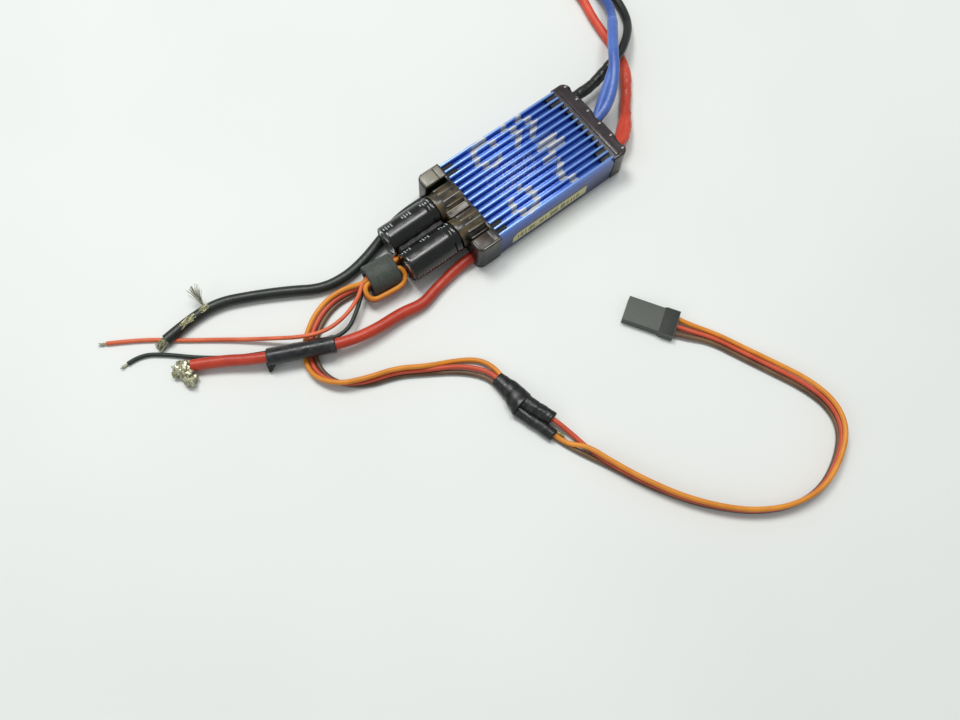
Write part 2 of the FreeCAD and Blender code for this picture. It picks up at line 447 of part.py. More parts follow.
# ---------------------------------------------------------------- cords: straight runs joined by tangent arcs
ROUTES = {
    "battery_lead_black": [
        (-13.6, 10.5, 1.75), (-20.5, 11, 1.7), (-27.6, 10.2, 1.6), (-34.2, 8, 1.55), (-40.8, 5.9, 1.55),
        (-47.2, 5, 1.55), (-54.2, 6.1, 1.55), (-61.3, 10.7, 1.55), (-69.6, 15.3, 1.55), (-77.6, 19, 1.55),
        (-86, 19.4, 1.55), (-93.8, 18.2, 1.55)],
    "battery_lead_red": [
        (-13.6, -10.5, 1.75), (-19.6, -10.3, 1.7), (-26, -11.2, 1.6), (-30.8, -12.2, 1.6), (-35.6, -13.5, 1.65),
        (-41.6, -12.3, 2.2), (-49.6, -12.4, 3.2), (-58.2, -10.9, 4), (-68.4, -6, 4.1), (-78.2, -1, 3.5),
        (-86.2, 4.9, 2.5), (-92.4, 8.2, 2.2)],
    "aux_wire_red": [
        (-11.2, 3.1, 2.27), (-18.5, 1.3, 2.75), (-26, 1.28, 2.75), (-33.4, 1.1, 3), (-39.4, 0.55, 4.9),
        (-44.6, 0.2, 4.8), (-48.4, -2.9, 4.1), (-54.2, -4.9, 3.6), (-60.2, -5.2, 3.7), (-66, -2.9, 3.7),
        (-71.4, 1.4, 2.4), (-77.4, 6.2, 1.1), (-83.8, 11.2, 0.66), (-90.6, 16.1, 0.6), (-98.6, 22.6, 0.6),
        (-106.3, 27, 0.6)],
    "aux_wire_black": [
        (-11.3, 4.4, 2.27), (-18.2, 1.5, 1.5), (-26, 1.3, 1.5), (-33.4, 1, 1.8), (-39.4, 0.35, 3.65),
        (-45, -0.4, 3.6), (-49.6, -4.5, 3), (-56.9, -9, 2.8), (-67.6, -4.4, 2.8), (-77.4, 0.6, 2.2),
        (-83.4, 4.6, 0.9), (-90, 9.7, 0.64), (-95.5, 15, 0.6), (-101, 19.2, 0.6), (-104.9, 19, 0.6)],
    "servo_lead_orange": [
        (-11.2, -1.5, 2.37), (-18.2, 0, 4.6), (-26, 0.03, 4.6), (-33.6, -0.1, 4.6), (-39.6, -0.8, 5.7),
        (-45.2, -0.55, 4.6), (-48.86, 1.95, 2.87), (-54.97, 2.43, 2.55), (-61.41, 0.25, 2.08), (-67.33, -4.46, 1.08),
        (-70.14, -11.51, 1.41), (-66.48, -18.32, 3.29), (-59.62, -21.51, 3.14), (-51.72, -24.01, 3.14),
        (-45.49, -28.23, 3.22), (-38.6, -30.6, 0.75), (-33.4, -34, 0.9), (-31.3, -38.6, 1.4), (-31.84, -44.68, 1.9),
        (-30.93, -49.8, 2.3)],
    "servo_lead_red": [
        (-11.2, 0, 2.37), (-18.2, 0, 3.25), (-26, 0.03, 3.25), (-33.6, -0.1, 3.25), (-39.6, -0.8, 4.3),
        (-45.2, -0.55, 3.2), (-48.9, 1.1, 1.79), (-54.8, 1.4, 1.62), (-60.8, -0.8, 1.39), (-66.2, -5.3, 0.89),
        (-68.7, -11.5, 1.06), (-66.1, -18, 2), (-59.9, -22.1, 1.92), (-52, -24.6, 1.92), (-45.8, -28.7, 1.96),
        (-39.4, -32.2, 1.7), (-35.2, -36, 1.75), (-32.7, -40.3, 1.9), (-32.79, -46.09, 1.8), (-32.69, -50.15, 1.7)],
    "servo_lead_brown": [
        (-11.2, 1.5, 2.37), (-18.2, 0, 1.9), (-26, 0.03, 1.9), (-33.6, -0.1, 1.9), (-39.6, -0.8, 2.9),
        (-45.2, -0.55, 2), (-48.94, 0.25, 0.7), (-54.63, 0.37, 0.7), (-60.19, -1.85, 0.7), (-65.07, -6.14, 0.7),
        (-67.26, -11.49, 0.7), (-65.72, -17.68, 0.7), (-60.18, -22.69, 0.7), (-52.28, -25.19, 0.7),
        (-46.11, -29.17, 0.7), (-40, -33.2, 0.7), (-36, -37.1, 0.7), (-33.9, -40.9, 0.95), (-34, -46.13, 1.4),
        (-34.16, -50.44, 1.5)],
    "plug_lead_orange": [
        (-33.23, -54.13, 2.2), (-31.23, -59.55, 1.95), (-29.6, -65.4, 0.95), (-26.2, -69.2, 2.9),
        (-24.17, -75.66, 3.37), (-20.48, -84.59, 3.42), (-15.8, -93.33, 3.45), (-9.9, -101.2, 3.46),
        (-3.1, -107.6, 3.46), (4.8, -111.8, 3.46), (13.51, -113.22, 3.45), (22.31, -110.42, 3.42),
        (29.19, -105.7, 3.29), (31.91, -98.86, 2.96), (30.89, -90.58, 2.28), (27.59, -82.19, 1.64),
        (24.06, -73.86, 1.08), (20.77, -66.06, 0.7), (16.9, -60.35, 1.15), (14.04, -54.38, 1.3)],
    "plug_lead_red": [
        (-30.7, -53.01, 2.3), (-28.39, -58.47, 2.3), (-26.9, -64.2, 1.2), (-25.9, -70, 0.75), (-24.5, -75.8, 2.03),
        (-20.7, -84.7, 2.06), (-15.9, -93.4, 2.07), (-9.9, -101.2, 2.08), (-3.1, -107.6, 2.08), (4.8, -111.8, 2.08),
        (13.5, -113.1, 2.07), (22.2, -110.2, 2.06), (28.8, -105.4, 2), (31.1, -98.8, 1.83), (29.8, -90.9, 1.49),
        (26.4, -82.7, 1.17), (22.8, -74.4, 0.89), (19.5, -66.6, 0.7), (15.38, -61.3, 1.15), (11.89, -55.72, 1.3)],
    "plug_lead_brown": [
        (-33.7, -53.31, 0.85), (-31.66, -59.94, 0.72), (-29.3, -66.6, 0.72), (-27.2, -71.2, 0.72),
        (-24.83, -75.94, 0.7), (-20.92, -84.81, 0.7), (-16, -93.47, 0.7), (-9.9, -101.2, 0.7), (-3.1, -107.6, 0.7),
        (4.8, -111.8, 0.7), (13.49, -112.98, 0.7), (22.09, -109.98, 0.7), (28.41, -105.1, 0.7), (30.29, -98.74, 0.7),
        (28.71, -91.22, 0.7), (25.21, -83.21, 0.7), (21.54, -74.94, 0.7), (18.23, -67.14, 0.7),
        (13.85, -62.26, 1.15), (9.73, -57.07, 1.3)],
    "motor_lead_black": [
        (30.2, 9.7, 5.85), (35.95, 10.07, 5.6), (42, 10.21, 5.1), (48.4, 11.7, 5.6), (55.1, 13.1, 6.5),
        (61.1, 16.8, 5.2), (66.7, 21.8, 2.6), (70, 28.9, 1.4), (70.9, 37.66, 1.35), (72.6, 47.4, 1.6),
        (74.2, 58.4, 2.3), (75, 68, 2.65)],
    "motor_lead_blue": [
        (30.2, 0, 5.85), (36.6, 0.2, 6.6), (42.6, 2.96, 8.6), (47.44, 7.7, 10.6), (51.91, 13.69, 10.9),
        (56.63, 19, 9.6), (61.72, 24.26, 6.8), (66.1, 30.67, 3.6), (67.83, 38.64, 1.6), (68, 47.6, 1.6),
        (67.4, 57.8, 2.3), (66.6, 67, 2.65)],
    "motor_lead_red": [
        (30.2, -9.7, 5.85), (36.1, -9.3, 5), (41.6, -6.1, 3.2), (46.94, 0.31, 1.8), (52.98, 6.42, 1.72),
        (57.3, 12.8, 1.6), (58.7, 21.02, 1.35), (60.1, 29.97, 1.35), (62.7, 38.69, 1.35), (62.2, 48, 1.6),
        (59.4, 57.6, 2.3), (57.9, 66.8, 2.65)],
}

DIA = {"battery": D["battery_wire"], "motor": D["motor_wire"], "servo": D["servo_wire"], "plug": D["servo_wire"], "aux": D["aux_wire"]}


def route_edges(pts, closed=False):
    """Runs and tangent arcs of a route; returns the edges and the arc radii."""
    P = [V(*p) for p in pts]
    n = len(P)
    arcs = {}
    idx = range(n) if closed else range(1, n - 1)
    for i in idx:
        a, b, c = P[i - 1], P[i], P[(i + 1) % n]
        u, w = b - a, c - b
        lu, lw = u.Length, w.Length
        u.normalize(); w.normalize()
        turn = math.acos(max(-1.0, min(1.0, u.dot(w))))
        cutl = 0.45 * min(lu, lw)
        r = cutl / math.tan(turn / 2)
        p1, p2 = b - u * cutl, b + w * cutl
        m = (w - u)
        m.normalize()
        centre_d = math.sqrt(r * r + cutl * cutl)
        mid = b + m * (centre_d - r)
        arcs[i] = (p1, mid, p2, r)
    edges = []
    if closed:
        for i in range(n):
            j = (i + 1) % n
            edges.append(Part.Arc(arcs[i][0], arcs[i][1], arcs[i][2]).toShape())
            edges.append(Part.LineSegment(arcs[i][2], arcs[j][0]).toShape())
    else:
        p = P[0]
        for i in range(1, n - 1):
            edges.append(Part.LineSegment(p, arcs[i][0]).toShape())
            edges.append(Part.Arc(arcs[i][0], arcs[i][1], arcs[i][2]).toShape())
            p = arcs[i][2]
        edges.append(Part.LineSegment(p, P[-1]).toShape())
    return edges, [arcs[i][3] for i in sorted(arcs)]


def sweep(edges, radius):
    wire = Part.Wire(edges)
    e = edges[0]
    p0 = e.valueAt(e.FirstParameter)
    t0 = e.tangentAt(e.FirstParameter)
    prof = Part.Wire([Part.Circle(p0, t0, radius).toShape()])
    s = wire.makePipeShell([prof], True, False)
    if s.ShapeType != "Solid":
        s = Part.Solid(s) if s.ShapeType == "Shell" else s.Solids[0]
    if s.Volume < 0:
        s = s.reversed()
    return s, wire.Length


cord_edges = {}
for nm in ROUTES:
    d_ = DIA[nm.split("_")[0]]
    ed, radii = route_edges(ROUTES[nm])
    cord_edges[nm] = ed
    tube, length = sweep(ed, d_ / 2)
    want = math.pi * d_ * d_ / 4 * length
    low = tube.optimalBoundingBox(False, False).ZMin
    print("cord %-20s length %6.1f  volume ratio %.4f  lowest %.2f  radii %s" % (
        nm, length, tube.Volume / want, low, " ".join("%.0f" % r for r in radii)))
    if abs(tube.Volume / want - 1) > 0.01 or low < -1e-3:
        raise RuntimeError("cord %s is wrong" % nm)
    keep(feature(nm, tube), nm)

# the servo lead's turn round the ferrite: one rounded ring of each wire, orange on top
turn_nodes = []
for k, (nm, z0, vo) in enumerate((("orange", 3.75, 5.0), ("red", 2.23, 4.58), ("brown", 0.71, 3.55))):
    q = [(0.4, 1.1, 2.08), (5.6, 1.1, 2.08), (5.6, vo, 0.0), (-4.95, vo, 0.0), (-4.95, 1.1, 2.08), (0.32, 1.1, 2.08)]
    P = []
    for (a, v, dz) in q:
        w = FC + FU * a + V(-0.113, -0.9936, 0) * v
        P.append(V(w.x, w.y, z0 + dz))
    ed = []
    p = P[0]
    rr = 1.5
    for i in range(1, len(P) - 1):
        u, w = P[i] - P[i - 1], P[i + 1] - P[i]
        u.normalize(); w.normalize()
        th = math.acos(max(-1.0, min(1.0, u.dot(w))))
        cl_ = rr * math.tan(th / 2)
        m = w - u
        m.normalize()
        mid = P[i] + m * (math.sqrt(rr * rr + cl_ * cl_) - rr)
        ed.append(Part.LineSegment(p, P[i] - u * cl_).toShape())
        ed.append(Part.Arc(P[i] - u * cl_, mid, P[i] + w * cl_).toShape())
        p = P[i] + w * cl_
    ed.append(Part.LineSegment(p, P[-1]).toShape())
    tube, length = sweep(ed, D["servo_wire"] / 2)
    print("turn %-8s length %.1f volume ratio %.4f lowest %.2f" % (nm, length, tube.Volume / (math.pi * D["servo_wire"] ** 2 / 4 * length), tube.optimalBoundingBox(False, False).ZMin))
    keep(feature("turn_" + nm, tube), "ferrite_turn_" + nm)

# ---------------------------------------------------------------- heat-shrink sleeves over the motor leads next to the case
for nm, first, last in (("black", 2, 7), ("blue", 2, 11), ("red", 2, 8)):
    ed = cord_edges["motor_lead_" + nm][:last]
    ro, ri = D["motor_sleeve"] / 2, D["motor_wire"] / 2 + 0.02
    # begin outside the cap: the first straight run is shortened to start at the cap's outer face
    e0 = ed[0]
    a, b = e0.valueAt(e0.FirstParameter), e0.valueAt(e0.LastParameter)
    xs = rx + rl + 0.1
    t_ = (xs - a.x) / (b.x - a.x)
    if t_ < 0.98:
        ed = [Part.LineSegment(a + (b - a) * t_, b).toShape()] + ed[1:]
    else:
        ed = ed[1:]
    outer, L_ = sweep(ed, ro)
    innr, _ = sweep(ed, ri)
    slv = outer.cut(innr)
    print("sleeve %s length %.1f volume ratio %.4f" % (nm, L_, slv.Volume / (math.pi * (ro * ro - ri * ri) * L_)))
    keep(feature("motor_sleeve_" + nm, slv), "motor_sleeve_" + nm)

# ---------------------------------------------------------------- bullet connectors and their heat-shrink on the motor leads
bul, shr = [], []
for nm in ("black", "blue", "red"):
    P = [V(*p) for p in ROUTES["motor_lead_" + nm][-2:]]
    u = P[1] - P[0]
    u.z = 0
    u.normalize()
    # the socket lies on the table at the end of the lead
    end = P[1]
    zc = D["shrink_dia"] / 2
    o = Part.makeCylinder(D["bullet_dia"] / 2, D["bullet_len"], V(end.x, end.y, zc) + u * 0.0, u)
    bore = Part.makeCylinder(D["bullet_bore"] / 2, D["bullet_deep"], V(end.x, end.y, zc) + u * (D["bullet_len"] - D["bullet_deep"]), u)
    cup = Part.makeCylinder(D["motor_wire"] / 2 - 0.1, 3.5, V(end.x, end.y, zc) - u * 0.01, u)
    w = (u.cross(V(0, 0, 1)))
    b_ = o.cut(bore).cut(cup)
    bul.append(b_)
    # heat-shrink: a taper over the lead, then a hollow sleeve over the socket
    c0 = V(end.x, end.y, zc)
    so = Part.makeCylinder(D["shrink_dia"] / 2, D["shrink_len"] - 3.0, c0, u).fuse(Part.makeCone(1.85, D["shrink_dia"] / 2, 3.0, c0 - u * 3.0, u))
    si = Part.makeCylinder(D["bullet_dia"] / 2 + 0.01, D["shrink_len"], c0, u)
    sn = Part.makeCone(1.45, D["bullet_dia"] / 2 + 0.01, 3.02, c0 - u * 3.01, u)
    shr.append(so.cut(si).cut(sn))
keep(feature("bullets", Part.makeCompound(bul)), "motor_bullet_sockets")
keep(feature("bullet_shrinks", Part.makeCompound(shr)), "bullet_shrinks")

# ---------------------------------------------------------------- splice in the servo lead
S0, SD, SQ = V(-32.8, -41.4, 0), V(0.195, -0.981, 0), V(0.981, 0.195, 0)


def sp(p, q, z):
    return S0 + SD * p + SQ * q + V(0, 0, z)


def oval(p, q, z, a, b):
    el = Part.Ellipse(sp(p, q, z), a, b) if a > b else Part.Ellipse(sp(p, q, z), b, a)
    e = el.toShape()
    # build in the plane across the splice: major axis along q
    m = FreeCAD.Placement(sp(p, q, z), FreeCAD.Rotation(SQ, V(0, 0, 1), SD, "XYZ")).toMatrix()
    pts = []
    for i in range(24):
        t = 2 * math.pi * i / 24
        pts.append(m.multVec(V(a * math.cos(t), b * math.sin(t), 0)))
    bs = Part.BSplineCurve()
    bs.interpolate(Points=pts, PeriodicFlag=True)
    return Part.Wire([bs.toShape()])


def loft(secs):
    s = Part.makeLoft([oval(*c) for c in secs], True, False)
    if s.Volume < 0:
        s = s.reversed()
    return s


wl = 0.35
secs = [(0.0, 0.0, 1.5, 2.0, 1.45), (4.2, -0.1, 1.75, 2.6, 1.72), (9.3, -1.4, 2.35, 3.5, 2.3)]
fo_ = loft(secs)
fi_ = loft([(p - (0.01 if i == 0 else 0) + (0.01 if i == 2 else 0), q, z, a - wl, b - wl) for i, (p, q, z, a, b) in enumerate(secs)])
keep(feature("splice_front", fo_.cut(fi_)), "splice_sleeve_front")


def tube_between(p0, q0, z0, p1, q1, z1, ro, ri):
    a, b = sp(p0, q0, z0), sp(p1, q1, z1)
    d = b - a
    L_ = d.Length
    d.normalize()
    return Part.makeCylinder(ro, L_, a, d).cut(Part.makeCylinder(ri, L_ + 0.4, a - d * 0.2, d))


keep(feature("splice_upper", tube_between(9.35, -0.1, 2.35, 17.4, 1.05, 2.35, 1.75, 1.4)), "splice_sleeve_upper")
keep(feature("splice_lower", tube_between(9.35, -3.15, 1.5, 20.4, -2.2, 1.5, 1.45, 1.2)), "splice_sleeve_lower")
sjt = []
for k, (q0, z0, q1, z1, pe) in enumerate(((0.2, 2.3, -2.9, 2.2, 12.38), (-1.6, 1.7, -0.2, 2.3, 11.78), (-3.1, 1.5, -3.2, 0.85, 11.48))):
    a, b = sp(8.65, q0, z0), sp(pe, q1, z1)
    if k == 0:      # the signal joint bends across inside the sleeve
        a = sp(8.65, q0, z0)
    d = b - a
    L_ = d.Length
    d.normalize()
    sjt.append(Part.makeCylinder(0.55, L_, a, d))
# the one joint that shows at the mouth of the lower sleeve
a, b = sp(19.3, -1.15, 1.75), sp(22.6, -0.35, 1.35)
d = b - a
L_ = d.Length
d.normalize()
sjt.append(Part.makeCylinder(0.5, L_, a, d))
keep(feature("splice_joint", Part.makeCompound(sjt)), "splice_joints")

# ---------------------------------------------------------------- tape round the red battery lead and the thin black wire
TA, TB = V(-60.4, -9.75, 3.98), V(-76.2, -2.15, 3.62)
td = TB - TA
tl = td.Length
td.normalize()
tn = V(-td.y, td.x, 0)
if tn.y < 0:
    tn = tn * -1
tn.normalize()
off = tn * 1.7 - V(0, 0, 1.15)


def band(r1, r2, a):
    """Outline round two circles side by side, across the tape: two arcs and their two common tangents."""
    up = td.cross(off)
    up.normalize()
    o = V(off.x, off.y, off.z)
    L0 = o.Length
    o.normalize()
    sn = (r1 - r2) / L0
    cs = math.sqrt(1 - sn * sn)
    n1, n2 = up * cs + o * sn, up * (-cs) + o * sn
    p0, p1, p2, p3 = a + n1 * r1, a + off + n1 * r2, a + off + n2 * r2, a + n2 * r1
    return Part.Wire([Part.LineSegment(p0, p1).toShape(), Part.Arc(p1, a + off + o * r2, p2).toShape(),
                      Part.LineSegment(p2, p3).toShape(), Part.Arc(p3, a - o * r1, p0).toShape()])


off = off - td * off.dot(td)
tw = D["tape_wall"]
ro_, rs_ = D["battery_wire"] / 2 + 0.22, D["aux_wire"] / 2 + 0.3
tape = Part.Face(band(ro_ + tw, rs_ + tw, TA)).extrude(td * tl).cut(
    Part.Face(band(ro_, rs_, TA - td * 0.5)).extrude(td * (tl + 1.0)))
keep(feature("tape", tape), "battery_tape_wrap")

# ---------------------------------------------------------------- bare ends of the leads


def bare_shape(pts, r, length):
    a, b = V(*pts[-2]), V(*pts[-1])
    d = b - a
    d.normalize()
    e = b + d * length
    c = Part.makeCone(r, r * 0.72, length, b, d)
    s = Part.makeSphere(r * 0.72, e)
    o = c.fuse(s)
    if o.BoundBox.ZMin < 0:
        o.translate(V(0, 0, -o.BoundBox.ZMin))
    return o


keep(feature("black_strands", bare_shape(ROUTES["battery_lead_black"], 1.15, 3.2)), "black_lead_strands")
rb_end = V(*ROUTES["battery_lead_red"][-1])
rdir = rb_end - V(*ROUTES["battery_lead_red"][-2])
rdir.normalize()
prof = [(0, 0), (1.2, 0), (1.8, 1.3), (2.0, 2.7), (1.75, 4.0), (1.0, 4.9), (0, 5.1)]
side = rdir.cross(V(0, 0, 1))
side.normalize()
pp = [rb_end + rdir * q[1] + side * q[0] for q in prof]
blob = Part.Face(Part.makePolygon(pp + [pp[0]])).revolve(rb_end, rdir, 360)
if blob.Volume < 0:
    blob = blob.reversed()
keep(feature("red_lead_solder", blob), "red_lead_solder")
keep(feature("aux_tips", Part.makeCompound([bare_shape(ROUTES["aux_wire_red"], 0.4, 2.0), bare_shape(ROUTES["aux_wire_black"], 0.4, 2.2)])),
     "aux_wire_tips")

# ---------------------------------------------------------------- servo plug, lying flat at the end of the lead
PC, PYAW = V(13.68, -58.59, 0), math.degrees(2.13)
plw, pnw, pll, phh = D["plug_wide"], D["plug_nose"], D["plug_len"], D["plug_high"]
plug = doc.addObject("PartDesign::Body", "plug_body")
fln = D["plug_flange"]
plsk = closed_sketch(plug, "plug_outline", "XY_Plane", [
    (0, -plw / 2), (fln, -plw / 2), (fln + 0.9, -pnw / 2), (pll, -pnw / 2), (pll, pnw / 2), (fln + 0.9, pnw / 2), (fln, plw / 2), (0, plw / 2)])
plp = plug.newObject("PartDesign::Pad", "plug_pad")
plp.Profile = plsk
ex(plp, "Length", "Dims.plug_high")
doc.recompute()
front = [i + 1 for i, f in enumerate(plp.Shape.Faces) if abs(f.CenterOfMass.x - pll) < 1e-6][0]
hsk = plug.newObject("Sketcher::SketchObject", "plug_holes")
hsk.AttachmentSupport = [(origin_plane(plug, "YZ_Plane"), "")]
hsk.MapMode = "FlatFace"
hsk.AttachmentOffset = FreeCAD.Placement(V(0, 0, pll), FreeCAD.Rotation())
cs_ = D["contact_side"]
for k in (-1, 0, 1):
    y = k * D["plug_pitch"]
    q = [(y - cs_ / 2 - 0.05, phh / 2 - cs_ / 2 - 0.05), (y + cs_ / 2 + 0.05, phh / 2 - cs_ / 2 - 0.05),
         (y + cs_ / 2 + 0.05, phh / 2 + cs_ / 2 + 0.05), (y - cs_ / 2 - 0.05, phh / 2 + cs_ / 2 + 0.05)]
    for i in range(4):
        a, b = q[i], q[(i + 1) % 4]
        hsk.addGeometry(Part.LineSegment(V(a[0], a[1], 0), V(b[0], b[1], 0)), False)
hp = plug.newObject("PartDesign::Pocket", "plug_pockets")
hp.Profile = hsk
ex(hp, "Length", "Dims.plug_len - 2.2")
doc.recompute()
v_before = plp.Shape.Volume
if hp.Shape.Volume > v_before - 1.0:
    hp.Reversed = True
    doc.recompute()
if hp.Shape.Volume > v_before - 1.0:
    raise RuntimeError("plug pockets cut nothing")
plug.Placement = FreeCAD.Placement(PC, FreeCAD.Rotation(V(0, 0, 1), PYAW))
# the wires enter the back of the housing: three round ways for them, up to their contacts
ways = []
for nm in ("orange", "red", "brown"):
    a, b = [V(*p) for p in ROUTES["plug_lead_" + nm][-2:]]
    d = b - a
    L_ = d.Length
    d.normalize()
    ways.append(Part.makeCylinder(D["servo_wire"] / 2 + 0.03, L_ + 0.05, a, d))
keep(cut("plug_with_ways", plug, feature("plug_ways", Part.makeCompound(ways))), "servo_plug_housing")
cts = []
rot = FreeCAD.Rotation(V(0, 0, 1), PYAW)
for k in (-1, 0, 1):
    c = box("contact_%d" % (k + 1), "Dims.contact_len", "Dims.contact_side", "Dims.contact_side", 0.0, 0.0, 0.0, PYAW)
    off_ = rot.multVec(V(3.4, k * D["plug_pitch"] - cs_ / 2, phh / 2 - cs_ / 2))
    c.Placement = FreeCAD.Placement(PC + off_, rot)
    cts.append(c)
keep(group("contacts", cts), "servo_plug_contacts")

# ---------------------------------------------------------------- check everything, then write one file per piece
doc.recompute()
bad = []
for o in doc.Objects:
    st = [x for x in o.State if x in ("Invalid", "Error")]
    if st:
        bad.append("%s %s" % (o.Name, st))
for label, o in made.items():
    if o.Shape.isNull() or not o.Shape.isValid():
        bad.append("%s shape" % label)
    elif not o.Shape.Solids:
        bad.append("%s has no solid" % label)
    if o.Label != label:
        bad.append("%s label is %s" % (label, o.Label))
if bad:
    raise RuntimeError("; ".join(bad))
os.makedirs("parts", exist_ok=True)
for f in os.listdir("parts"):
    if f.endswith(".step"):
        os.remove(os.path.join("parts", f))
tot = FreeCAD.BoundBox()
for label, o in made.items():
    o.Shape.exportStep("parts/%s.step" % label)
    tot.add(o.Shape.BoundBox)
print("nodes", len(made))
print("box x %.2f..%.2f y %.2f..%.2f z %.2f..%.2f" % (tot.XMin, tot.XMax, tot.YMin, tot.YMax, tot.ZMin, tot.ZMax))
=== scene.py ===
# Looks for the electronic speed controller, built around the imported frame. Lengths below are in
# millimetres in the row frame and are scaled to metres when a mesh or curve is made.
import bpy, bmesh, math, random
from mathutils import Vector, Matrix, noise


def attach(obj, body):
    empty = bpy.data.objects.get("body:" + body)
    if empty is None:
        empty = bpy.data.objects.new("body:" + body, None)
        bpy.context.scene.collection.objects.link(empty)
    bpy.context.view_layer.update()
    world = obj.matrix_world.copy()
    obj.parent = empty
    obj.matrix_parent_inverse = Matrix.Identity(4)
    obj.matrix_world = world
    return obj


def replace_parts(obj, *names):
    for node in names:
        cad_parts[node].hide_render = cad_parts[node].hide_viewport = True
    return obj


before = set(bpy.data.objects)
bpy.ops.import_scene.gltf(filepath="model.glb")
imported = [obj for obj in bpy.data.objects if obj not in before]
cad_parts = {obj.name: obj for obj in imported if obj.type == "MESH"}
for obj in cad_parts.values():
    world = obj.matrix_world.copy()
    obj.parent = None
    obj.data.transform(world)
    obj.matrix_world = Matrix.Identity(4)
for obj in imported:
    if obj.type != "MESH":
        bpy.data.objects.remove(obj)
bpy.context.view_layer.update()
MM = 0.001
scene = bpy.context.scene
coll = scene.collection
V = Vector

# ------------------------------------------------------------------ camera
RT, UP, FW = V((0.787065, -0.61587, 0.035105)), V((0.570386, 0.748249, 0.338797)), V((0.234922, 0.246632, -0.940204))
FW.normalize()
RT = (RT - FW * RT.dot(FW)).normalized()
UP = RT.cross(FW).normalized()
cam_data = bpy.data.cameras.new("camera")
cam_data.sensor_width = 36.0
cam_data.lens = 35.625
cam_data.clip_start = 0.005
cam_data.clip_end = 20
cam = bpy.data.objects.new("camera", cam_data)
m = Matrix.Identity(4)
for r in range(3):
    m[r][0], m[r][1], m[r][2] = RT[r], UP[r], -FW[r]
C = V((-90.593, -95.033, 231.302)) * MM
m.translation = C
cam.matrix_world = m
coll.objects.link(cam)
scene.camera = cam
scene.view_settings.view_transform = "Standard"
scene.view_settings.look = "None"


# ------------------------------------------------------------------ small tools
def link(o):
    coll.objects.link(o)
    return o


def mesh_obj(name, verts, faces, mats=None, smooth=True, face_mats=None):
    me = bpy.data.meshes.new(name)
    me.from_pydata([tuple(x * MM for x in v) for v in verts], [], faces)
    me.validate()
    o = link(bpy.data.objects.new(name, me))
    for k in (mats or []):
        me.materials.append(k)
    if face_mats:
        for p, i in zip(me.polygons, face_mats):
            p.material_index = i
    for p in me.polygons:
        p.use_smooth = smooth
    return o


def fix_normals(o):
    bm = bmesh.new()
    bm.from_mesh(o.data)
    bmesh.ops.recalc_face_normals(bm, faces=bm.faces)
    bm.to_mesh(o.data)
    bm.free()
    return o


def smooth_by_angle(o, deg=35.0):
    """Shade smooth, with edges sharper than the angle kept sharp."""
    bm = bmesh.new()
    bm.from_mesh(o.data)
    lim = math.radians(deg)
    for f in bm.faces:
        f.smooth = True
    for e in bm.edges:
        if len(e.link_faces) == 2:
            e.smooth = e.calc_face_angle(0) < lim
        else:
            e.smooth = False
    bm.to_mesh(o.data)
    bm.free()
    return o


def add_mod(o, kind, **props):
    md = o.modifiers.new(kind.lower(), kind)
    for k, v in props.items():
        setattr(md, k, v)
    return md


def bake(o):
    """Apply the modifiers of an object, so that its mesh is final."""
    dg = bpy.context.evaluated_depsgraph_get()
    dg.update()
    me = bpy.data.meshes.new_from_object(o.evaluated_get(dg), preserve_all_data_layers=True, depsgraph=dg)
    old = o.data
    o.modifiers.clear()
    if o.type == "MESH":
        o.data = me
        bpy.data.meshes.remove(old)
        return o
    return o


def rings(name, rs, mats=None, cap=True, closed_ring=True, smooth=True):
    """A skin over a list of rings with the same number of points each."""
    n = len(rs[0])
    vs = [p for r in rs for p in r]
    fs = []
    for i in range(len(rs) - 1):
        for j in range(n if closed_ring else n - 1):
            k = (j + 1) % n
            fs.append((i * n + j, i * n + k, (i + 1) * n + k, (i + 1) * n + j))
    if cap:
        fs.append(tuple(range(n - 1, -1, -1)))
        fs.append(tuple((len(rs) - 1) * n + j for j in range(n)))
    o = mesh_obj(name, vs, fs, mats, smooth)
    return fix_normals(o)


def ring_at(c, a, b, pts):
    """Points given in the plane of two directions a and b about a centre c."""
    return [c + a * p[0] + b * p[1] for p in pts]


def circle(n, r=1.0, ph=0.0):
    return [(r * math.cos(ph + 2 * math.pi * i / n), r * math.sin(ph + 2 * math.pi * i / n)) for i in range(n)]


def lathe(name, origin, axis, profile, n=64, mats=None, side=None, smooth=True, closed=False):
    """Turned piece: profile is (distance along the axis, radius); closed joins its last point to its first."""
    axis = axis.normalized()
    a = side or axis.orthogonal().normalized()
    a = (a - axis * a.dot(axis)).normalized()
    b = axis.cross(a)
    rs = []
    for (t, r) in profile:
        rs.append([origin + axis * t + a * (r * math.cos(2 * math.pi * i / n)) + b * (r * math.sin(2 * math.pi * i / n)) for i in range(n)])
    vs = [p for r in rs for p in r]
    fs = []
    last = len(rs) if closed else len(rs) - 1
    for i in range(last):
        i2 = (i + 1) % len(rs)
        for j in range(n):
            k = (j + 1) % n
            fs.append((i * n + j, i * n + k, i2 * n + k, i2 * n + j))
    if not closed:
        fs.append(tuple(range(n - 1, -1, -1)))
        fs.append(tuple((len(rs) - 1) * n + j for j in range(n)))
    o = mesh_obj(name, vs, fs, mats, smooth)
    return fix_normals(o)


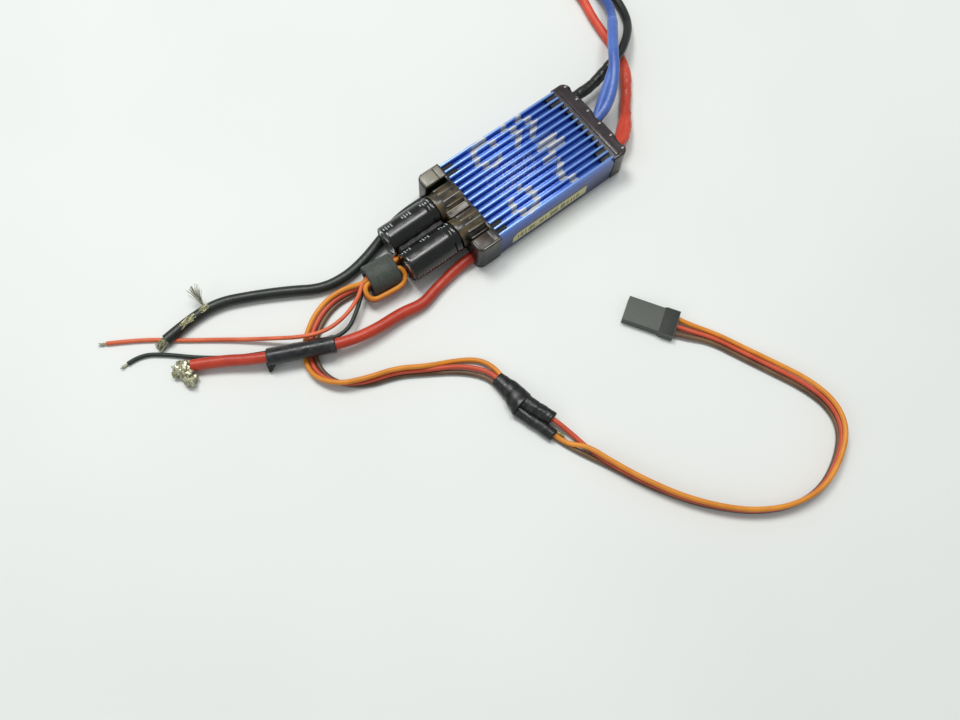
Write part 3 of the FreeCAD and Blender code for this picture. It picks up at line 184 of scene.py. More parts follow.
def soft_box(name, lo, hi, r=0.3, seg=3, mats=None, taper=None):
    """A moulded block with rounded edges."""
    bm = bmesh.new()
    bmesh.ops.create_cube(bm, size=1.0)
    lo, hi = V(lo), V(hi)
    for v in bm.verts:
        v.co = V([lo[i] + (v.co[i] + 0.5) * (hi[i] - lo[i]) for i in range(3)])
    if taper:
        taper(bm)
    bmesh.ops.bevel(bm, geom=list(bm.edges), offset=r, segments=seg, profile=0.5, affect="EDGES", clamp_overlap=True)
    for v in bm.verts:
        v.co *= MM
    me = bpy.data.meshes.new(name)
    bm.to_mesh(me)
    bm.free()
    o = link(bpy.data.objects.new(name, me))
    for k in (mats or []):
        me.materials.append(k)
    return smooth_by_angle(o, 40)


def boolean(o, other, op="DIFFERENCE", keep=False):
    md = add_mod(o, "BOOLEAN", operation=op, object=other, solver="EXACT")
    bake(o)
    if not keep:
        d = other.data
        bpy.data.objects.remove(other)
        bpy.data.meshes.remove(d)
    return o


def join(name, objs):
    """One object out of several, with their materials kept."""
    bm = bmesh.new()
    mats = []
    for o in objs:
        idx = []
        for k in o.data.materials:
            if k not in mats:
                mats.append(k)
            idx.append(mats.index(k))
        me = o.data.copy()
        me.transform(o.matrix_world)
        for p in me.polygons:
            p.material_index = idx[p.material_index] if idx else 0
        bm.from_mesh(me)
        bpy.data.meshes.remove(me)
    me = bpy.data.meshes.new(name)
    bm.to_mesh(me)
    bm.free()
    for k in mats:
        me.materials.append(k)
    for o in objs:
        d = o.data
        bpy.data.objects.remove(o)
        if d.users == 0:
            bpy.data.meshes.remove(d)
    return link(bpy.data.objects.new(name, me))


def copy_node(node, name, mats, bevel=0.0, seg=3, angle=30.0):
    """A new piece on a CAD node's outline: flat faces are merged again and its edges are rounded."""
    src = bpy.data.objects[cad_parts[node].name] if hasattr(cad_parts[node], "name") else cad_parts[node]
    me = src.data.copy()
    me.name = name
    me.materials.clear()
    for k in mats:
        me.materials.append(k)
    o = link(bpy.data.objects.new(name, me))
    bm = bmesh.new()
    bm.from_mesh(me)
    for v in bm.verts:
        v.co = src.matrix_world @ v.co
    bmesh.ops.remove_doubles(bm, verts=bm.verts, dist=1e-6)
    bmesh.ops.dissolve_limit(bm, angle_limit=math.radians(1.5), verts=bm.verts, edges=bm.edges)
    for f in bm.faces:
        f.material_index = 0
    bm.to_mesh(me)
    bm.free()
    if bevel:
        add_mod(o, "BEVEL", width=bevel * MM, segments=seg, limit_method="ANGLE", angle_limit=math.radians(angle), harden_normals=False, use_clamp_overlap=True)
        bake(o)
    smooth_by_angle(o, 35)
    return o


# ------------------------------------------------------------------ materials
class Mat:
    """A material on one Principled shader, with a few node helpers."""

    def __init__(self, name, color=(0.5, 0.5, 0.5), rough=0.5, metal=0.0, **sock):
        self.m = bpy.data.materials.new(name)
        self.m.use_nodes = True
        self.t = self.m.node_tree
        self.b = [n for n in self.t.nodes if n.type == "BSDF_PRINCIPLED"][0]
        self.b.inputs["Base Color"].default_value = (*color, 1)
        self.b.inputs["Roughness"].default_value = rough
        self.b.inputs["Metallic"].default_value = metal
        for k, v in sock.items():
            self.b.inputs[k.replace("_", " ")].default_value = v
        self._co = None

    def co(self):
        if self._co is None:
            self._co = self.t.nodes.new("ShaderNodeTexCoord").outputs["Object"]
        return self._co

    def node(self, kind, **p):
        n = self.t.nodes.new(kind)
        for k, v in p.items():
            setattr(n, k, v)
        return n

    def put(self, sock, v):
        if isinstance(v, bpy.types.NodeSocket):
            self.t.links.new(v, sock)
        elif isinstance(v, tuple) and len(v) == 3 and sock.type == "RGBA":
            sock.default_value = (*v, 1)
        else:
            sock.default_value = v

    def scaled(self, s, vec=None, rot=(0, 0, 0), loc=(0, 0, 0)):
        n = self.node("ShaderNodeMapping")
        self.put(n.inputs["Vector"], vec or self.co())
        n.inputs["Scale"].default_value = s if isinstance(s, tuple) else (s, s, s)
        n.inputs["Rotation"].default_value = rot
        n.inputs["Location"].default_value = loc
        return n.outputs["Vector"]

    def noise(self, scale, detail=3.0, rough=0.5, vec=None, dist=0.0):
        """Noise with features of about 1/scale mm."""
        n = self.node("ShaderNodeTexNoise")
        self.put(n.inputs["Vector"], vec or self.co())
        n.inputs["Scale"].default_value = scale * 1000.0
        n.inputs["Detail"].default_value = detail
        n.inputs["Roughness"].default_value = rough
        n.inputs["Distortion"].default_value = dist
        return n.outputs["Fac"]

    def voronoi(self, scale, feature="F1", vec=None, rnd=1.0):
        n = self.node("ShaderNodeTexVoronoi", feature=feature)
        self.put(n.inputs["Vector"], vec or self.co())
        n.inputs["Scale"].default_value = scale * 1000.0
        n.inputs["Randomness"].default_value = rnd
        return n.outputs["Distance"]

    def math(self, op, a, b=None, c=None, clamp=False):
        n = self.node("ShaderNodeMath", operation=op, use_clamp=clamp)
        self.put(n.inputs[0], a)
        if b is not None:
            self.put(n.inputs[1], b)
        if c is not None:
            self.put(n.inputs[2], c)
        return n.outputs[0]

    def ramp(self, fac, stops, mode="LINEAR"):
        n = self.node("ShaderNodeValToRGB")
        n.color_ramp.interpolation = mode
        self.put(n.inputs["Fac"], fac)
        e = n.color_ramp.elements
        while len(e) < len(stops):
            e.new(0.5)
        for k, (p, c) in zip(e, stops):
            k.position = p
            k.color = (*c, 1) if isinstance(c, tuple) else (c, c, c, 1)
        return n.outputs["Color"]

    def range(self, v, a, b, c=0.0, d=1.0):
        n = self.node("ShaderNodeMapRange", clamp=True)
        self.put(n.inputs["Value"], v)
        for k, x in zip(("From Min", "From Max", "To Min", "To Max"), (a, b, c, d)):
            n.inputs[k].default_value = x
        return n.outputs["Result"]

    def mix(self, fac, a, b, mode="MIX"):
        n = self.node("ShaderNodeMix", data_type="RGBA", blend_type=mode)
        self.put(n.inputs[0], fac)
        self.put(n.inputs[6], a)
        self.put(n.inputs[7], b)
        return n.outputs[2]

    def xyz(self, vec=None):
        n = self.node("ShaderNodeSeparateXYZ")
        self.put(n.inputs[0], vec or self.co())
        return n.outputs

    def bump(self, height, strength=0.3, dist=0.1, base=None):
        n = self.node("ShaderNodeBump")
        self.put(n.inputs["Height"], height)
        n.inputs["Strength"].default_value = strength
        n.inputs["Distance"].default_value = dist * MM
        if base is not None:
            self.put(n.inputs["Normal"], base)
        self.t.links.new(n.outputs["Normal"], self.b.inputs["Normal"])
        return n.outputs["Normal"]

    def set(self, name, v):
        self.put(self.b.inputs[name], v)


def rubber(name, dark, light, rough=(0.38, 0.55), grain=2.2, bump=0.25, spec=0.4, lump=0.0):
    """Silicone or vinyl jacket: slow colour drift, fine dust, faint lumps."""
    k = Mat(name, color=light, rough=rough[0])
    k.b.inputs["Specular IOR Level"].default_value = spec
    n1 = k.noise(0.16, 3)
    n2 = k.noise(grain, 4, 0.6)
    col = k.mix(k.range(n1, 0.32, 0.68), dark, light)
    col = k.mix(k.math("MULTIPLY", k.range(n2, 0.55, 0.8), 0.25), col, tuple(min(1, c * 1.25 + 0.02) for c in light))
    k.set("Base Color", col)
    k.set("Roughness", k.range(n2, 0.3, 0.75, rough[0], rough[1]))
    h = n2
    if lump:
        h = k.math("ADD", k.math("MULTIPLY", k.noise(0.45, 2, 0.5), lump), n2)
    k.bump(h, bump, 0.12)
    return k.m


def plain(name, color, rough=0.5, metal=0.0, grain=3.0, var=0.18, bump=0.15, **sock):
    """A moulded or plated finish with small variation in tone and gloss."""
    k = Mat(name, color=color, rough=rough, metal=metal, **sock)
    n = k.noise(grain, 4, 0.6)
    d = tuple(c * (1 - var) for c in color)
    l = tuple(min(1, c * (1 + var)) for c in color)
    k.set("Base Color", k.mix(k.range(n, 0.3, 0.7), d, l))
    k.set("Roughness", k.range(k.noise(grain * 0.6, 3), 0.3, 0.7, max(0.02, rough * 0.85), min(1, rough * 1.2)))
    k.bump(n, bump, 0.05)
    return k.m


M = {}


def srgb(r, g, b):
    f = lambda c: (c / 255 / 12.92) if c / 255 <= 0.04045 else ((c / 255 + 0.055) / 1.055) ** 2.4
    return (f(r), f(g), f(b))


M["battery_black"] = rubber("battery_black", srgb(14, 21, 17), srgb(27, 36, 30), (0.36, 0.5), 1.2, 0.3, 0.5, 1.4)
M["battery_red"] = rubber("battery_red", srgb(160, 40, 18), srgb(188, 60, 32), (0.34, 0.5), 1.2, 0.4, 0.5, 1.8)
M["aux_red"] = rubber("aux_red", srgb(198, 88, 50), srgb(220, 110, 70), (0.42, 0.55), 2.5, 0.15)
M["aux_black"] = rubber("aux_black", srgb(16, 28, 22), srgb(32, 46, 38), (0.4, 0.55), 2.5, 0.15)
M["wire_orange"] = rubber("wire_orange", srgb(200, 122, 28), srgb(220, 142, 44), (0.38, 0.52), 2.5, 0.12)
M["wire_red"] = rubber("wire_red", srgb(180, 66, 40), srgb(202, 86, 58), (0.38, 0.52), 2.5, 0.12)
M["wire_brown"] = rubber("wire_brown", srgb(84, 60, 42), srgb(112, 86, 62), (0.38, 0.52), 2.5, 0.12)
M["motor_black"] = rubber("motor_black", srgb(15, 20, 18), srgb(30, 36, 32), (0.36, 0.5), 1.6, 0.3, 0.45, 0.4)
M["motor_blue"] = rubber("motor_blue", srgb(46, 74, 144), srgb(64, 98, 168), (0.36, 0.5), 1.8, 0.2, 0.45, 0.3)
M["motor_red"] = rubber("motor_red", srgb(186, 60, 38), srgb(214, 80, 56), (0.4, 0.55), 1.6, 0.3, 0.4, 0.6)
M["sleeve_blue"] = rubber("sleeve_blue", srgb(60, 90, 164), srgb(80, 112, 184), (0.3, 0.42), 1.4, 0.15, 0.5)
M["sleeve_red"] = rubber("sleeve_red", srgb(176, 54, 32), srgb(202, 72, 48), (0.32, 0.45), 1.4, 0.3, 0.5, 0.8)
M["sleeve_black"] = rubber("sleeve_black", srgb(14, 18, 14), srgb(28, 33, 28), (0.3, 0.42), 1.4, 0.25, 0.5, 0.5)
M["chip"] = plain("chip", srgb(34, 34, 36), 0.55)
M["copper"] = plain("copper", (0.72, 0.36, 0.2), 0.35, 1.0)
M["gold"] = plain("gold", (0.85, 0.6, 0.24), 0.25, 1.0)
M["tin"] = plain("tin", (0.62, 0.62, 0.63), 0.35, 1.0, 1.5, 0.2, 0.4)
M["steel"] = plain("steel", (0.72, 0.72, 0.74), 0.25, 1.0)
M["can"] = plain("can", (0.8, 0.8, 0.82), 0.22, 1.0, 0.8)
M["pad"] = plain("pad", srgb(150, 155, 165), 0.7)
M["iron"] = plain("iron", srgb(40, 41, 44), 0.6)
M["ceramic"] = plain("ceramic", srgb(170, 140, 105), 0.45)
M["bung"] = plain("bung", srgb(24, 24, 24), 0.6)
M["led"] = plain("led", (0.7, 0.12, 0.1), 0.15, 0.0, 3.0, 0.1, 0.02)


def board_material():
    k = Mat("board", rough=0.35)
    tr = k.voronoi(0.6, "DISTANCE_TO_EDGE")
    lines = k.range(tr, 0.02, 0.06)
    k.set("Base Color", k.mix(lines, srgb(30, 110, 60), srgb(14, 72, 40)))
    k.bump(lines, 0.2, 0.04)
    return k.m


M["board"] = board_material()

# ------------------------------------------------------------------ cords: the same route points as the CAD solids
ROUTES = {
    "battery_lead_black": [(-13.6, 10.5, 1.75), (-20.5, 11, 1.7), (-27.6, 10.2, 1.6), (-34.2, 8, 1.55), (-40.8, 5.9, 1.55), (-47.2, 5, 1.55),
        (-54.2, 6.1, 1.55), (-61.3, 10.7, 1.55), (-69.6, 15.3, 1.55), (-77.6, 19, 1.55), (-86, 19.4, 1.55), (-93.8, 18.2, 1.55)],
    "battery_lead_red": [(-13.6, -10.5, 1.75), (-19.6, -10.3, 1.7), (-26, -11.2, 1.6), (-30.8, -12.2, 1.6), (-35.6, -13.5, 1.65),
        (-41.6, -12.3, 2.2), (-49.6, -12.4, 3.2), (-58.2, -10.9, 4), (-68.4, -6, 4.1), (-78.2, -1, 3.5), (-86.2, 4.9, 2.5), (-92.4, 8.2, 2.2)],
    "aux_wire_red": [(-11.2, 3.1, 2.27), (-18.5, 1.3, 2.75), (-26, 1.28, 2.75), (-33.4, 1.1, 3), (-39.4, 0.55, 4.9), (-44.6, 0.2, 4.8),
        (-48.4, -2.9, 4.1), (-54.2, -4.9, 3.6), (-60.2, -5.2, 3.7), (-66, -2.9, 3.7), (-71.4, 1.4, 2.4), (-77.4, 6.2, 1.1), (-83.8, 11.2, 0.66),
        (-90.6, 16.1, 0.6), (-98.6, 22.6, 0.6), (-106.3, 27, 0.6)],
    "aux_wire_black": [(-11.3, 4.4, 2.27), (-18.2, 1.5, 1.5), (-26, 1.3, 1.5), (-33.4, 1, 1.8), (-39.4, 0.35, 3.65), (-45, -0.4, 3.6),
        (-49.6, -4.5, 3), (-56.9, -9, 2.8), (-67.6, -4.4, 2.8), (-77.4, 0.6, 2.2), (-83.4, 4.6, 0.9), (-90, 9.7, 0.64), (-95.5, 15, 0.6),
        (-101, 19.2, 0.6), (-104.9, 19, 0.6)],
    "servo_lead_orange": [(-11.2, -1.5, 2.37), (-18.2, 0, 4.6), (-26, 0.03, 4.6), (-33.6, -0.1, 4.6), (-39.6, -0.8, 5.7), (-45.2, -0.55, 4.6),
        (-48.86, 1.95, 2.87), (-54.97, 2.43, 2.55), (-61.41, 0.25, 2.08), (-67.33, -4.46, 1.08), (-70.14, -11.51, 1.41), (-66.48, -18.32, 3.29),
        (-59.62, -21.51, 3.14), (-51.72, -24.01, 3.14), (-45.49, -28.23, 3.22), (-38.6, -30.6, 0.75), (-33.4, -34, 0.9), (-31.3, -38.6, 1.4),
        (-31.84, -44.68, 1.9), (-30.93, -49.8, 2.3)],
    "servo_lead_red": [(-11.2, 0, 2.37), (-18.2, 0, 3.25), (-26, 0.03, 3.25), (-33.6, -0.1, 3.25), (-39.6, -0.8, 4.3), (-45.2, -0.55, 3.2),
        (-48.9, 1.1, 1.79), (-54.8, 1.4, 1.62), (-60.8, -0.8, 1.39), (-66.2, -5.3, 0.89), (-68.7, -11.5, 1.06), (-66.1, -18, 2),
        (-59.9, -22.1, 1.92), (-52, -24.6, 1.92), (-45.8, -28.7, 1.96), (-39.4, -32.2, 1.7), (-35.2, -36, 1.75), (-32.7, -40.3, 1.9),
        (-32.79, -46.09, 1.8), (-32.69, -50.15, 1.7)],
    "servo_lead_brown": [(-11.2, 1.5, 2.37), (-18.2, 0, 1.9), (-26, 0.03, 1.9), (-33.6, -0.1, 1.9), (-39.6, -0.8, 2.9), (-45.2, -0.55, 2),
        (-48.94, 0.25, 0.7), (-54.63, 0.37, 0.7), (-60.19, -1.85, 0.7), (-65.07, -6.14, 0.7), (-67.26, -11.49, 0.7), (-65.72, -17.68, 0.7),
        (-60.18, -22.69, 0.7), (-52.28, -25.19, 0.7), (-46.11, -29.17, 0.7), (-40, -33.2, 0.7), (-36, -37.1, 0.7), (-33.9, -40.9, 0.95),
        (-34, -46.13, 1.4), (-34.16, -50.44, 1.5)],
    "plug_lead_orange": [(-33.23, -54.13, 2.2), (-31.23, -59.55, 1.95), (-29.6, -65.4, 0.95), (-26.2, -69.2, 2.9), (-24.17, -75.66, 3.37),
        (-20.48, -84.59, 3.42), (-15.8, -93.33, 3.45), (-9.9, -101.2, 3.46), (-3.1, -107.6, 3.46), (4.8, -111.8, 3.46), (13.51, -113.22, 3.45),
        (22.31, -110.42, 3.42), (29.19, -105.7, 3.29), (31.91, -98.86, 2.96), (30.89, -90.58, 2.28), (27.59, -82.19, 1.64), (24.06, -73.86, 1.08),
        (20.77, -66.06, 0.7), (16.9, -60.35, 1.15), (14.04, -54.38, 1.3)],
    "plug_lead_red": [(-30.7, -53.01, 2.3), (-28.39, -58.47, 2.3), (-26.9, -64.2, 1.2), (-25.9, -70, 0.75), (-24.5, -75.8, 2.03),
        (-20.7, -84.7, 2.06), (-15.9, -93.4, 2.07), (-9.9, -101.2, 2.08), (-3.1, -107.6, 2.08), (4.8, -111.8, 2.08), (13.5, -113.1, 2.07),
        (22.2, -110.2, 2.06), (28.8, -105.4, 2), (31.1, -98.8, 1.83), (29.8, -90.9, 1.49), (26.4, -82.7, 1.17), (22.8, -74.4, 0.89),
        (19.5, -66.6, 0.7), (15.38, -61.3, 1.15), (11.89, -55.72, 1.3)],
    "plug_lead_brown": [(-33.7, -53.31, 0.85), (-31.66, -59.94, 0.72), (-29.3, -66.6, 0.72), (-27.2, -71.2, 0.72), (-24.83, -75.94, 0.7),
        (-20.92, -84.81, 0.7), (-16, -93.47, 0.7), (-9.9, -101.2, 0.7), (-3.1, -107.6, 0.7), (4.8, -111.8, 0.7), (13.49, -112.98, 0.7),
        (22.09, -109.98, 0.7), (28.41, -105.1, 0.7), (30.29, -98.74, 0.7), (28.71, -91.22, 0.7), (25.21, -83.21, 0.7), (21.54, -74.94, 0.7),
        (18.23, -67.14, 0.7), (13.85, -62.26, 1.15), (9.73, -57.07, 1.3)],
    "motor_lead_black": [(30.2, 9.7, 5.85), (35.95, 10.07, 5.6), (42, 10.21, 5.1), (48.4, 11.7, 5.6), (55.1, 13.1, 6.5), (61.1, 16.8, 5.2),
        (66.7, 21.8, 2.6), (70, 28.9, 1.4), (70.9, 37.66, 1.35), (72.6, 47.4, 1.6), (74.2, 58.4, 2.3), (75, 68, 2.65)],
    "motor_lead_blue": [(30.2, 0, 5.85), (36.6, 0.2, 6.6), (42.6, 2.96, 8.6), (47.44, 7.7, 10.6), (51.91, 13.69, 10.9), (56.63, 19, 9.6),
        (61.72, 24.26, 6.8), (66.1, 30.67, 3.6), (67.83, 38.64, 1.6), (68, 47.6, 1.6), (67.4, 57.8, 2.3), (66.6, 67, 2.65)],
    "motor_lead_red": [(30.2, -9.7, 5.85), (36.1, -9.3, 5), (41.6, -6.1, 3.2), (46.94, 0.31, 1.8), (52.98, 6.42, 1.72), (57.3, 12.8, 1.6),
        (58.7, 21.02, 1.35), (60.1, 29.97, 1.35), (62.7, 38.69, 1.35), (62.2, 48, 1.6), (59.4, 57.6, 2.3), (57.9, 66.8, 2.65)],
}
DIA = {"battery": 3.0, "motor": 2.6, "servo": 1.3, "plug": 1.3, "aux": 1.1}


def curve(name, pts, dia, mat, res=10, bev=8, radii=None):
    cu = bpy.data.curves.new(name, "CURVE")
    cu.dimensions = "3D"
    cu.bevel_depth = dia / 2 * MM
    cu.bevel_resolution = bev
    cu.use_fill_caps = True
    cu.resolution_u = res
    s = cu.splines.new("NURBS")
    s.points.add(len(pts) - 1)
    for i, (q, p) in enumerate(zip(s.points, pts)):
        q.co = (p[0] * MM, p[1] * MM, p[2] * MM, 1)
        q.radius = radii[i] if radii else 1.0
    s.order_u = 3
    s.use_endpoint_u = True
    s.use_smooth = True
    cu.materials.append(mat)
    o = link(bpy.data.objects.new(name, cu))
    return o


def centreline(pts, per=8):
    """Points along the smooth line of a route, read from its own spline."""
    cu = bpy.data.curves.new("line", "CURVE")
    cu.dimensions = "3D"
    cu.resolution_u = per
    s = cu.splines.new("NURBS")
    s.points.add(len(pts) - 1)
    for q, p in zip(s.points, pts):
        q.co = (p[0] * MM, p[1] * MM, p[2] * MM, 1)
    s.order_u = 3
    s.use_endpoint_u = True
    o = link(bpy.data.objects.new("line", cu))
    me = bpy.data.meshes.new_from_object(o)
    out = [v.co / MM for v in me.vertices]
    bpy.data.objects.remove(o)
    bpy.data.curves.remove(cu)
    bpy.data.meshes.remove(me)
    return out


def length(line):
    return sum((line[i + 1] - line[i]).length for i in range(len(line) - 1))


CORD = {}
LINE = {}
MATS = {"battery_lead_black": "battery_black", "battery_lead_red": "battery_red", "aux_wire_red": "aux_red", "aux_wire_black": "aux_black",
        "servo_lead_orange": "wire_orange", "servo_lead_red": "wire_red", "servo_lead_brown": "wire_brown",
        "plug_lead_orange": "wire_orange", "plug_lead_red": "wire_red", "plug_lead_brown": "wire_brown",
        "motor_lead_black": "motor_black", "motor_lead_blue": "motor_blue", "motor_lead_red": "motor_red"}
rnd = random.Random(7)
for nm, pts in ROUTES.items():
    d = DIA[nm.split("_")[0]]
    amp = {"battery": 0.07, "motor": 0.05}.get(nm.split("_")[0], 0.015)
    rad = [1 + rnd.uniform(-amp, amp) for _ in pts]
    rad[0] = rad[-1] = 1.0
    CORD[nm] = curve(nm + "_cord", pts, d, M[MATS[nm]], res=12 if d > 2 else 8, bev=10 if d > 2 else 7, radii=rad)
    LINE[nm] = centreline(pts)
    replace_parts(CORD[nm], nm)
    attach(CORD[nm], "root")

# ------------------------------------------------------------------ finishes for the CAD pieces that keep their shape
KEEP = {"power_board": "board", "control_board": "board", "power_mosfets": "chip", "gate_drivers": "chip", "microcontroller": "chip",
        "bec_regulators": "chip", "chip_resistors": "chip", "thermal_pad": "pad", "copper_bus_bars": "copper", "bec_inductor": "iron",
        "ceramic_capacitors": "ceramic", "crystal_oscillator": "steel", "status_led": "led", "board_pin_header": "gold",
        "capacitor_bungs": "bung", "capacitor_leads": "steel", "solder_joints": "tin", "servo_plug_contacts": "gold", "splice_joints": "tin",
        "bottom_cover": "chip", "capacitor_left_can": "can", "capacitor_right_can": "can", "motor_bullet_sockets": "gold", "bullet_shrinks": "bung",
        "ferrite_turn_orange": "wire_orange", "ferrite_turn_red": "wire_red", "ferrite_turn_brown": "wire_brown",
        "motor_sleeve_black": "sleeve_black", "motor_sleeve_blue": "sleeve_blue", "motor_sleeve_red": "sleeve_red",
        "heatsink_case": "motor_blue", "front_end_cap": "chip", "rear_end_cap": "chip", "side_label": "pad", "capacitor_left_sleeve": "bung",
        "capacitor_right_sleeve": "bung", "ferrite_ring": "iron", "servo_plug_housing": "chip", "splice_sleeve_front": "bung",
        "splice_sleeve_upper": "bung", "splice_sleeve_lower": "bung", "battery_tape_wrap": "bung", "black_lead_strands": "tin",
        "red_lead_solder": "tin", "aux_wire_tips": "tin"}


def dress(node, mat):
    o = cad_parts[node]
    o.data.materials.clear()
    o.data.materials.append(mat)


for n_, k_ in KEEP.items():
    dress(n_, M[k_])


def piece(o, nodes, slot=None):
    """A new piece that stands in for CAD nodes and rides on the one body."""
    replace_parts(o, *nodes) if len(nodes) > 1 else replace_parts(o, nodes[0])
    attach(o, "root")
    return o


def frames(line):
    """Tangent and two carried-along side directions at every point of a line."""
    n = len(line)
    T = [(line[min(i + 1, n - 1)] - line[max(i - 1, 0)]).normalized() for i in range(n)]
    a = V((0, 0, 1)).cross(T[0])
    a = a.normalized() if a.length > 1e-3 else V((1, 0, 0))
    out = []
    for t in T:
        a = (a - t * a.dot(t)).normalized()
        out.append((t, a, t.cross(a)))
    return out


def resample(line, s0, s1, step):
    """Points of a line between two distances along it."""
    acc, S = 0.0, [0.0]
    for i in range(len(line) - 1):
        acc += (line[i + 1] - line[i]).length
        S.append(acc)
    s1 = min(s1, acc)
    n = max(2, int(round((s1 - s0) / step)))
    out, j = [], 0
    for k in range(n + 1):
        s = s0 + (s1 - s0) * k / n
        while j < len(S) - 2 and S[j + 1] < s:
            j += 1
        f = (s - S[j]) / max(1e-9, S[j + 1] - S[j])
        out.append(line[j].lerp(line[j + 1], max(0.0, min(1.0, f))))
    return out


def lump(p, scale, seed):
    return noise.noise(V((p.x * scale + seed, p.y * scale - seed, p.z * scale + 2 * seed)))


def sleeve(name, line, ro, ri, mats, n=40, lip=0.18, floor=True, shape=None):
    """A tube with a wall round a line: outer radius ro(s 0..1, angle, point), rounded lips, inner radius ri."""
    F = frames(line)
    m_ = len(line)
    rs = []
    for i, (c, (t, a, b)) in enumerate(zip(line, F)):
        r_ = []
        for j in range(n):
            th = 2 * math.pi * j / n
            d = a * math.cos(th) + b * math.sin(th)
            q = c + d * ro(i / (m_ - 1), th, c + d * 1.5)
            if floor:
                q.z = max(q.z, 0.01)
            r_.append(q)
        rs.append(r_)

    def inner(i, r, push=0.0):
        c, (t, a, b) = line[i], F[i]
        return [c + t * push + (a * math.cos(2 * math.pi * j / n) + b * math.sin(2 * math.pi * j / n)) * r for j in range(n)]

    def mixed(r1, r2, f, push, t):
        return [p.lerp(q, f) + t * push for p, q in zip(r1, r2)]
    i0, i1 = inner(0, ri), inner(m_ - 1, ri)
    t0, t1 = F[0][0], F[-1][0]
    full = [mixed(rs[0], i0, 0.25, -lip * 0.7, t0)] if lip else []
    full += rs
    if lip:
        full += [mixed(rs[-1], i1, 0.25, lip * 0.7, t1), mixed(rs[-1], i1, 0.7, lip, t1)]
    full += [i1, inner(m_ // 2, ri), i0]
    if lip:
        full += [mixed(rs[0], i0, 0.7, -lip, t0)]
    vs = [p for r in full for p in r]
    fs = []
    for i in range(len(full)):
        k = (i + 1) % len(full)
        for j in range(n):
            j2 = (j + 1) % n
            fs.append((i * n + j, i * n + j2, k * n + j2, k * n + j))
    return fix_normals(mesh_obj(name, vs, fs, mats))


